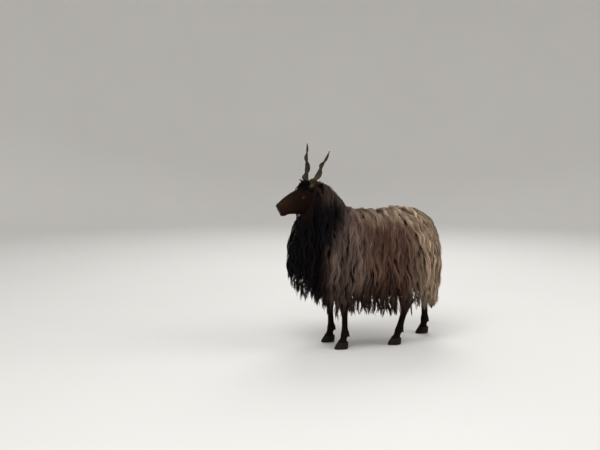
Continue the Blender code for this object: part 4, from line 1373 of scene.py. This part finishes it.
def make_dewclaw(name, inner):
    """A small blunt claw behind the fetlock."""
    x, y = FEET[name]
    outward, word = claw_side(name, inner)
    rows = LEG_ROWS[name]
    z = DEWCLAW_HEIGHT
    back = np.interp(z, [row[1] for row in rows], [row[0] + row[3] for row in rows])
    root_x = x + math.copysign(LEG_SPREAD, x) * (z - CORONET) + outward * 0.0095
    root = Vector((root_x, y + back - 0.0045, z))
    tip = root + Vector((outward * 0.0015, 0.0045, -0.0115))
    ahead = (tip - root).normalized()
    across = Vector((1, 0, 0)).cross(ahead).normalized()
    side = ahead.cross(across)
    rings = []
    for share in np.linspace(0, 1, 9):
        wide = DEWCLAW_RADIUS * math.sqrt(max(1 - (share * 0.97) ** 2.6, 0))
        rings.append(oval(root.lerp(tip, share), side, across, wide, wide * 0.8, 14))
    return deliver(loft(f"dewclaw_{name}_{word}", rings), HOOF, "hoof")


def make_lashes(side, rng):
    """Upper and lower lashes, set along the rims of the lids."""
    middle, level, up, out = (np.array(v) for v in lid_axes(side))
    radius = EYE_RADIUS + 0.0030
    shares = np.linspace(0, 1, LASH_STATIONS)
    centres, acrosses, outs, halves = [], [], [], []
    for angle in [*np.linspace(0.35, 2.75, 30), *np.linspace(3.7, 5.7, 16)]:
        flat, high = lid_outline(angle + rng.normal(0, 0.02))
        rise = math.sqrt(radius**2 - flat**2 - high**2)
        root = middle + level * flat * 1.12 + up * high * 1.28 + out * (rise - 0.0004)
        above = math.sin(angle) > 0
        long = (UPPER_LASH if above else LOWER_LASH) * rng.uniform(0.8, 1.15)
        turned = out * 0.85 + up * (0.25 if above else -0.7) + level * (0.5 * flat / LID_OPENING[0])
        curl = up * (0.5 if above else -0.2)
        line = root + turned * (long * shares)[:, None] + curl * (long * shares**2)[:, None]
        centres.append(line)
        acrosses.append(np.tile(level, (LASH_STATIONS, 1)))
        outs.append(np.tile(up, (LASH_STATIONS, 1)))
        halves.append(np.interp(shares, (0, 0.6, 1), (0.00022, 0.00014, 0.00002)))
    count = len(centres)
    values = {"tone": np.zeros(count), "muzzle": np.zeros(count)}
    roots = 0.5 + (np.array(centres)[:, 0] - middle) @ np.stack([level, up], 1) * 12
    strands = (np.array(rows) for rows in (centres, acrosses, outs, halves))
    return deliver(strand_mesh(f"lashes_{side_name(side)}", *strands, values, roots), FUR, "face")


# Fleece


def hang(surface, start, length, lowest, push):
    """Points and normals along a path down a surface, which falls free at its underside."""
    place, normal = surface.find_nearest(start)[:2]
    path = [(place, normal)]
    while len(path) * LOCK_STEP < length and place.z > lowest:
        if normal.z > FREE_FALL:
            # Off the spine to both sides over the back, and rearward over the rump
            flat = max(0, normal.z)
            parting = Vector((math.copysign(PARTING_PUSH, place.x) * flat, 0, 0))
            parting *= 1 - float(ease(place.y, 0.20, 0.31))
            sweep = Vector((0, RUMP_SWEEP * flat * float(ease(place.y, 0.10, 0.24)), 0))
            down = Vector((0, 0, -1)) + parting + sweep + push
            ahead = square_to(down, normal)
            place, normal = surface.find_nearest(place + ahead * LOCK_STEP)[:2]
        else:
            place = place - Vector((0, 0, LOCK_STEP))
        path.append((place, normal))
    return path


def evened(path, stations):
    """Places and normals at even steps along a path."""
    places = np.array([p for p, _ in path])
    normals = np.array([n for _, n in path])
    steps = np.concatenate([[0], np.cumsum(np.linalg.norm(np.diff(places, axis=0), axis=1))])
    want = np.linspace(0, steps[-1], stations)
    out = []
    for given in (places, normals):
        rows = np.stack([np.interp(want, steps, given[:, k]) for k in range(3)], 1)
        for _ in range(3):
            rows[1:-1] = (rows[:-2] + 2 * rows[1:-1] + rows[2:]) / 4
        out.append(rows)
    return (*out, steps[-1])


def scattered(obj, count, rng):
    """Random points on an object's surface, spread evenly by area."""
    obj.data.calc_loop_triangles()
    corners = np.empty(len(obj.data.loop_triangles) * 3, dtype=np.int32)
    obj.data.loop_triangles.foreach_get("vertices", corners)
    corners = corners.reshape(-1, 3)
    a, b, c = (places_of(obj)[corners[:, k]] for k in range(3))
    areas = np.linalg.norm(np.cross(b - a, c - a), axis=1)
    chosen = rng.choice(len(areas), count, p=areas / areas.sum())
    s, t = rng.random((2, count))
    flip = s + t > 1
    s, t = np.where(flip, 1 - s, s)[:, None], np.where(flip, 1 - t, t)[:, None]
    return a[chosen] + (b - a)[chosen] * s + (c - a)[chosen] * t


def spaced(places, spacings):
    """Which places, in order, keep their spacing from every one taken before."""
    cells, kept = {}, []
    widest = spacings.max()
    for index, (place, spacing) in enumerate(zip(places, spacings)):
        key = tuple(int(v // widest) for v in place)
        near = (
            cells.get((key[0] + i, key[1] + j, key[2] + k), ())
            for i in (-1, 0, 1)
            for j in (-1, 0, 1)
            for k in (-1, 0, 1)
        )
        if all(np.sum((places[other] - place) ** 2) > spacing**2 for cell in near for other in cell):
            cells.setdefault(key, []).append(index)
            kept.append(index)
    return kept


def sampled(rows, at):
    """Rows of each lock read between their stations, at shares of its length."""
    last = rows.shape[1] - 1
    spot = np.clip(at, 0, 1) * last
    low = np.minimum(spot.astype(int), last - 1)
    part = (spot - low)[..., None]
    index = np.arange(rows.shape[0])[:, None, None]
    return rows[index, low] * (1 - part) + rows[index, low + 1] * part


def strand_corners(shares):
    """The corners of one strand's faces, and how many corners each face has.

    A corner is its point and where that lies round the strand and along it. Shares are the
    stations along it.
    """
    sides, last = STRAND_SIDES, len(shares) - 2
    tip = (last + 1) * sides
    corners, sizes = [], []
    for row in range(last):
        for k in range(sides):
            for station, turn in ((row, k), (row + 1, k), (row + 1, k + 1), (row, k + 1)):
                corners.append((station * sides + turn % sides, turn / sides, shares[station]))
            sizes.append(4)
    for k in range(sides):
        corners.append((last * sides + k, k / sides, shares[last]))
        corners.append((tip, (k + 0.5) / sides, 1.0))
        corners.append((last * sides + (k + 1) % sides, (k + 1) / sides, shares[last]))
        sizes.append(3)
    corners += [(k, k / sides, 0.0) for k in range(sides)]
    return np.array(corners), [*sizes, sides]


def strand_mesh(name, centres, across, out, halves, values, root_uv):
    """Closed tapered strands. Arrays hold strands, then stations, and the last one is the tip."""
    count, stations = centres.shape[:2]
    shares = np.linspace(0, 1, stations)
    turns = math.tau * (np.arange(STRAND_SIDES) + 0.25) / STRAND_SIDES
    around = across[:, :-1, None] * np.cos(turns)[None, None, :, None]
    around = around + out[:, :-1, None] * (STRAND_FLATNESS * np.sin(turns))[None, None, :, None]
    tubes = centres[:, :-1, None] + around * halves[:, :-1, None, None]
    points = np.concatenate([tubes.reshape(count, -1, 3), centres[:, -1:]], 1)
    size = points.shape[1]
    corners, face_sizes = strand_corners(shares)
    loops = corners[:, 0].astype(int) + np.arange(count)[:, None] * size
    begins = np.cumsum([0, *np.tile(face_sizes, count)[:-1]])

    mesh = bpy.data.meshes.new(name)
    mesh.vertices.add(count * size)
    mesh.vertices.foreach_set("co", points.astype(np.float32).ravel())
    mesh.loops.add(loops.size)
    mesh.loops.foreach_set("vertex_index", loops.astype(np.int32).ravel())
    mesh.polygons.add(len(begins))
    mesh.polygons.foreach_set("loop_start", begins.astype(np.int32))
    mesh.update(calc_edges=True)

    # Each strand is a small patch of the unwrap, at its root's place
    uv = (corners[:, 1:] - 0.5) * BAKE_PATCH + root_uv[:, None]
    mesh.uv_layers.new(name="OFBake").data.foreach_set("uv", uv.astype(np.float32).ravel())

    obj = put(name, mesh)
    along = np.concatenate([np.repeat(shares[:-1], STRAND_SIDES), [1.0]])
    carry(obj, "along", np.tile(along, count))
    for key, per_strand in values.items():
        carry(obj, key, np.repeat(per_strand, size))
    return obj


def rolled_out(sideways, ahead, along):
    """Where places lie on a part's skin laid flat: round it, and by the share of its length."""
    u = 0.5 + np.arctan2(sideways, ahead) / math.tau
    return np.stack([0.02 + 0.96 * u, 0.02 + 0.96 * along], -1)


def trunk_unwrap(places):
    """Places on the unwrap of the trunk's skin."""
    x, y, z = places.T
    return rolled_out(x, z - 0.44, (y + 0.45) / 0.92)


def neck_unwrap(places):
    """Places on the unwrap of the neck's skin."""
    x, y, z = places.T
    return rolled_out(x, -(y + 0.23), (z - 0.25) / 0.62)


def wound(first, second, wide, tall, angle):
    """Offsets that turn by an angle in the plane of two directions."""
    return first * (wide * np.cos(angle))[..., None] + second * (tall * np.sin(angle))[..., None]


def lock_plan(path, depth, layer, lift, tone, size=1.0):
    """One lock: its way, how deep it roots and lies, how fast it rises, its tone and width."""
    return {"path": path, "depth": depth, "layer": layer, "lift": lift, "tone": tone, "size": size}


def make_locks(name, plans, rng, unwrap, half_width, strands, half):
    """One piece of fleece from the plans of its locks."""
    evens = [evened(plan["path"], LOCK_STATIONS) for plan in plans]
    places = np.stack([e[0] for e in evens])
    normals = unit(np.stack([e[1] for e in evens]))
    lengths = np.array([e[2] for e in evens])[:, None]
    keys = ("depth", "layer", "lift", "tone", "size")
    depth, layer, lift, tone, size = (np.array([plan[key] for plan in plans])[:, None] for key in keys)
    count = len(plans)

    # Middle line of each lock: it rises from its root to its layer and winds along its way
    ahead = unit(np.gradient(places, axis=1))
    across = unit(np.cross(ahead, normals))
    out = np.cross(across, ahead)
    s = np.linspace(0, 1, LOCK_STATIONS)[None]
    inset = depth * (1 - s) ** lift + layer * (1 - (1 - s) ** lift)
    phase = rng.random((count, 1)) * math.tau
    wave_length = CRIMP_LENGTH * rng.uniform(0.75, 1.35, (count, 1))
    waves = math.tau * lengths * s / wave_length + phase
    swing = CRIMP * rng.uniform(0.6, 1.3, (count, 1)) * np.minimum(1, 0.25 + 1.6 * s)
    centre = places - out * inset[..., None] + wound(out, across, 0.6 * swing, swing, waves)

    # Its strands, some broad and some fine, that twist round it and gather towards the tip
    ends = rng.uniform(0.80, 1.0, (count, strands))
    ends[:, 0] = 1.0
    t = np.linspace(0, 1, STRAND_STATIONS)
    at = ends[..., None] * t
    middle, side, face = (sampled(rows, at) for rows in (centre, across, out))
    order = np.arange(strands)[None]
    angle = math.tau * (order + rng.uniform(-0.3, 0.3, (count, strands))) / strands
    angle = angle + rng.random((count, 1)) * math.tau
    broad = order < BROAD_STRANDS * strands / STRANDS
    near = rng.uniform(0.15, 0.60, (count, strands))
    reach = np.where(broad, near, rng.uniform(0.45, 1.15, (count, strands)))
    twist = rng.uniform(-1.0, 1.0, (count, 1, 1)) * LOCK_TWIST
    size = size[..., None]
    wide = half_width * size * (reach[..., None] * (1 - 0.72 * at**1.4))
    centres = middle + wound(side, face, wide, 0.6 * wide, angle[..., None] + twist * at)
    own = np.where(broad, 0.3, 1.0)[..., None] * STRAND_WAVE * size * at
    turn = rng.random((count, strands, 1)) + at * lengths[..., None] / STRAND_WAVE_LENGTH
    centres = centres + wound(face, side, 0.7 * own, own, math.tau * turn)
    thick = np.interp(t, (0, 0.15, 0.3, 0.6, 0.85, 1.0), (0.10, 0.70, 1.0, 0.9, 0.50, 0.05))
    halves = half * size * np.where(broad, BROAD_HALF, FINE_HALF)[..., None]
    halves = halves * rng.uniform(0.7, 1.3, (count, strands, 1)) * thick
    tones = np.clip(tone + rng.normal(0, 0.17, (count, strands)), 0, 1)
    rows = (rows.reshape(-1, *rows.shape[2:]) for rows in (centres, side, face, halves))
    roots = centres[:, :, 0].reshape(-1, 3)
    obj = strand_mesh(name, *rows, {"tone": tones.ravel()}, unwrap(roots))
    return deliver(obj, WOOL, "coat")


def depth_below(skin, place, normal):
    """Distance from the full coat in to the skin, with the root sunk in it."""
    found = skin.ray_cast(place + normal * LOCK_STEP, -normal)
    nearest = skin.find_nearest(place)
    reach = found[3] - LOCK_STEP if found[0] else nearest[3]
    return min(reach, 1.5 * nearest[3]) + LOCK_SUNK


def wool_covers(place):
    """Whether wool grows at a place: behind the cheeks, on the crown and under the jaw."""
    x, f, u = head_frame().inverted() @ place
    jaw = np.interp(f, [row[0] for row in HEAD], [row[2] for row in HEAD])
    under_jaw = u < jaw - 0.002 and (f < 0.13 or u < -0.15)
    behind_face = f < np.interp(u, *zip(*WOOL_EDGE))
    near_horn = math.hypot(abs(x) - HORN_ROOT[0], f - HORN_ROOT[1]) < 0.021 and u > -0.04
    near_ear = abs(x) > 0.045 and u > -0.055 and f < 0.02
    return (under_jaw or behind_face) and not near_horn and not near_ear


def fineness(place):
    """1 beside the face and at the throat, where the wool is fine, down to 0 on the body."""
    _, f, u = head_frame().inverted() @ place
    return float(ease(f, -0.030, 0.020) * ease(u, -0.26, -0.15))


def fleece_envelope():
    """The full coat's outside, with the wool on the back of the head."""
    coat = coat_form(1.0, 1.0, COAT_GRAIN, 0)
    crown = ellipsoid(*CROWN_WOOL)
    return remeshed(joined("envelope", [coat, crown]), ENVELOPE_GRAIN, 8)


def fleece_piece(place):
    """The piece of fleece that the lock rooted at a place belongs to."""
    side = side_name(place.x)
    on_trunk = place.y > -0.16 or place.z < 0.42
    if place.z > 0.64 and place.y < -0.10 or not on_trunk:
        return f"fleece_{'neck' if place.z > 0.60 else 'chest'}_{side}"
    third = min(2, int((place.y + 0.41) / 0.27))
    return f"fleece_{('shoulder', 'flank', 'rump')[third]}_{side}"


def plan_fleece(skin, rng):
    """The plan of every lock, gathered by the piece that holds it."""
    form = fleece_envelope()
    outside = surface_of(form)
    body = surface_of(skin)
    starts = [outside.find_nearest(Vector(start))[:2] for start in scattered(form, FLEECE_DRAWS, rng)]
    bpy.data.objects.remove(form)
    # Locks stand closest along the spine, the nape and beside the face
    crest = np.array([ease(normal.z, 0.45, 0.85) for _, normal in starts])
    fine = np.array([fineness(place) for place, _ in starts])
    ridge = [ease(p.z, 0.66, 0.72) * (1 - ease(abs(p.x), 0.02, 0.05)) for p, _ in starts]
    spacings = LOCK_SPACING + (CREST_SPACING - LOCK_SPACING) * crest
    spacings = spacings * (1 - 0.38 * np.maximum(fine, ridge))
    pieces = {}
    for index in spaced(np.array([place for place, _ in starts]), spacings):
        place, normal = starts[index]
        if not wool_covers(place):
            continue
        lowest = float(np.interp(place.y, *zip(*HEM))) + rng.normal(0, 0.012)
        if normal.z < -0.75 or place.z < lowest + 0.05:
            continue
        length = LOCK_LENGTH * (1 + LOCK_VARIES * rng.uniform(-1, 1))
        length *= 1 - fine[index] * (0.12 + 0.33 * ease(normal.z, 0.1, 0.5))
        drift = Vector((0, rng.normal(0, 0.14), 0))
        # Beside the spine half of the locks fall over to the far side, so that no parting is bare
        near_spine = abs(place.x) < SPINE_HALF and normal.z > 0.2
        if near_spine and rng.random() < 0.5:
            drift.x = -math.copysign(SPINE_CROSSING, place.x)
        path = hang(outside, place, length, lowest, drift)
        if len(path) < 6:
            continue
        deepest = 0.05 if normal.z < -0.3 else SPINE_DEPTH if near_spine else 1.0
        nape = ease(place.z, 0.66, 0.72) * ease(normal.y, 0.05, 0.35)
        lift = LOCK_LIFT + CREST_LIFT * ease(normal.z, 0.35, 0.85) + NAPE_LIFT * nape
        lift += THROAT_LIFT * fine[index] * (1 - ease(normal.z, 0.0, 0.4))
        plan = lock_plan(
            path,
            depth=min(depth_below(body, place, normal), deepest),
            layer=LOCK_LAYER * rng.random() ** 1.3 * (1 - 0.6 * crest[index]),
            lift=lift,
            tone=float(np.clip(0.12 + rng.beta(1.6, 2.6), 0, 1)),
            size=1 - 0.5 * fine[index],
        )
        piece = pieces.setdefault(fleece_piece(place), [])
        piece.append(plan)
        # A second, deeper lock fills the wool out before the throat and beside the upper neck
        before_throat = normal.y < -0.45 and place.y < -0.22 and place.z > 0.40
        beside_neck = abs(normal.x) > 0.5 and place.y < -0.12 and place.z > 0.62
        if (before_throat or beside_neck) and rng.random() < 0.5:
            deeper = LOCK_LAYER + THROAT_FILLING * rng.random()
            piece.append({**plan, "layer": deeper, "size": 0.9 * plan["size"]})
    return pieces


def plan_belly(skin, rng):
    """Shorter locks that hang straight down from the belly and the brisket."""
    body = surface_of(skin)
    spots = rng.uniform((-0.13, -0.35, 0), (0.13, 0.29, 0), (BELLY_DRAWS, 3))
    spots[:, 2] = 0.20
    plans = []
    for index in spaced(spots, np.full(len(spots), BELLY_SPACING)):
        place = body.ray_cast(Vector(spots[index]), Vector((0, 0, 1)))[0]
        if place is None or place.z > 0.48:
            continue
        length = BELLY_LENGTH * (1 + LOCK_VARIES * rng.uniform(-1, 1))
        angle = rng.uniform(0, math.tau)
        normal = Vector((math.cos(angle), math.sin(angle), 0))
        lean = Vector((rng.normal(0, 0.10) + 0.6 * place.x, rng.normal(0, 0.10), -1))
        path = [(place + lean * (k * LOCK_STEP), normal) for k in range(-1, int(length / LOCK_STEP))]
        plans.append(lock_plan(path, 0.0, 0.0, 1.0, rng.uniform(0.1, 0.5)))
    return plans


def plan_tail(rng):
    """The tail's own locks, tier over tier down to its tip."""
    form = tail_form("tail_coat", 30, 1.0, 32)
    outside = surface_of(form)
    starts = scattered(form, TAIL_DRAWS, rng)
    bpy.data.objects.remove(form)
    plans = []
    for index in spaced(starts, np.full(len(starts), TAIL_SPACING)):
        place = outside.find_nearest(Vector(starts[index]))[0]
        length = TAIL_LOCK_LENGTH * (1 + LOCK_VARIES * rng.uniform(-1, 1))
        lowest = TAIL[-1][1] + 0.012 * rng.random()
        path = hang(outside, place, length, lowest, Vector((rng.normal(0, 0.1), 0, 0)))
        if len(path) < 5:
            continue
        layer = 0.008 * rng.random()
        plans.append(lock_plan(path, 0.018, layer, LOCK_LIFT, rng.uniform(0.2, 0.8)))
    return plans


def plan_forelock(skin, rng):
    """Short wisps that fall from between the horns over the forehead."""
    surface = surface_of(skin)
    plans = []
    for _ in range(FORELOCK_WISPS):
        start = in_head((rng.uniform(-0.020, 0.020), rng.uniform(-0.004, 0.046), 0.02))
        push = Vector((rng.normal(0, 0.5) + 12 * start.x, -2.2, 0))
        path = hang(surface, start, rng.uniform(0.035, 0.070), 0, push)
        height = FORELOCK_RISE * rng.uniform(0.40, 1.0)
        shares = [k / (len(path) - 1) for k in range(len(path))]
        rises = [height * math.sin(math.pi * min(1, 0.08 + share**0.8)) for share in shares]
        raised = [(place + normal * rise, normal) for (place, normal), rise in zip(path, rises)]
        plans.append(lock_plan(raised, 0.008, 0.0, 6.0, rng.uniform(0, 0.7)))
    return plans


def crown_unwrap(places):
    """Where places lie on the crown's skin laid flat: across it and along it."""
    local = seen_from(head_frame(), places)
    return np.stack([0.5 + local[:, 0] * 6, 0.3 + local[:, 1] * 8], -1)


def tail_unwrap(places):
    """Places on the unwrap of the tail's skin."""
    x, y, z = places.T
    return rolled_out(x, y - 0.385, (z - 0.12) / 0.48)


def make_fleece(skin):
    """All the long wool of body, neck, belly and tail."""
    rng = np.random.default_rng(SEED)
    planned = plan_fleece(skin, rng)
    planned["fleece_belly"] = plan_belly(skin, rng)
    planned["fleece_tail"] = plan_tail(rng)
    planned["fleece_forelock"] = plan_forelock(skin, rng)
    unwraps = {"neck": neck_unwrap, "chest": neck_unwrap, "tail": tail_unwrap, "forelock": crown_unwrap}
    for name, plans in sorted(planned.items()):
        part = name.split("_")[1]
        make_locks(name, plans, rng, unwraps.get(part, trunk_unwrap), *LOCK_SIZES.get(part, LOCK_SIZE))


# Studio


def make_studio():
    """A pale floor that curves up into its own backdrop, all round, and soft lights."""
    points = []
    for share in np.linspace(0, 1, FLOOR_RINGS):
        radius = 0.02 + FLOOR_RADIUS * share
        rise = max(0, (share - BACKDROP_START) / (1 - BACKDROP_START)) ** 2.2 * BACKDROP_HEIGHT
        for a in np.linspace(0, math.tau, FLOOR_SIDES + 1)[:-1]:
            points.append((radius * math.cos(a), radius * math.sin(a), rise))
    faces = [face[::-1] for face in grid_faces(FLOOR_RINGS, FLOOR_SIDES)]
    mesh = bpy.data.meshes.new("floor")
    mesh.from_pydata(points, [], [tuple(range(FLOOR_SIDES)), *faces])
    mesh.materials.append(FLOOR)
    mesh.shade_smooth()
    put("floor", mesh)

    world = bpy.data.worlds.new("studio")
    world.use_nodes = True
    sky = world.node_tree.nodes["Background"]
    sky.inputs[0].default_value = SKY_COLOUR
    sky.inputs[1].default_value = SKY_POWER
    bpy.context.scene.world = world
    for name, place, size, power in LIGHTS:
        light = bpy.data.lights.new(name, "AREA")
        light.size = size
        light.energy = power
        lamp = put(name, light)
        lamp.location = place
        lamp.rotation_euler = (LIGHTS_AIM - Vector(place)).to_track_quat("-Z", "Y").to_euler()


def make_camera():
    """The photo's view: from her left front, a little above her back, five metres away."""
    camera = bpy.data.cameras.new("camera")
    camera.lens = CAMERA_LENS
    camera.sensor_width = CAMERA_SENSOR
    obj = put("camera", camera)
    aside, before = math.sin(CAMERA_AZIMUTH), -math.cos(CAMERA_AZIMUTH)
    spot = Vector((aside * CAMERA_DISTANCE, before * CAMERA_DISTANCE, CAMERA_HEIGHT))
    obj.location = spot + Vector((ORIGIN_SHIFT.x, ORIGIN_SHIFT.y, 0))
    pitch = math.atan(HORIZON_RISE / (PHOTO_WIDTH * CAMERA_LENS / CAMERA_SENSOR))
    obj.rotation_euler = (math.pi / 2 - pitch, 0, CAMERA_AZIMUTH + CAMERA_TURN)
    bpy.context.scene.camera = obj
    bpy.context.scene.view_settings.view_transform = "Standard"


make_camera()
make_studio()
skin = make_skin()
for side in (1, -1):
    make_eye(side)
    make_horn(side)
    make_lashes(side, np.random.default_rng(SEED + side))
for foot in FEET:
    for inner in (True, False):
        make_claw(foot, inner)
        make_dewclaw(foot, inner)
make_fleece(skin)
short_coat = fur_tree()
for part in FUR_SPACING:
    make_short_coat(skin, part, short_coat)
flesh = ["head", "neck", "torso", "tail", "ear_left", "ear_right", *(f"leg_{name}" for name in FEET)]
deliver(skin, SKIN, "face", *flesh)
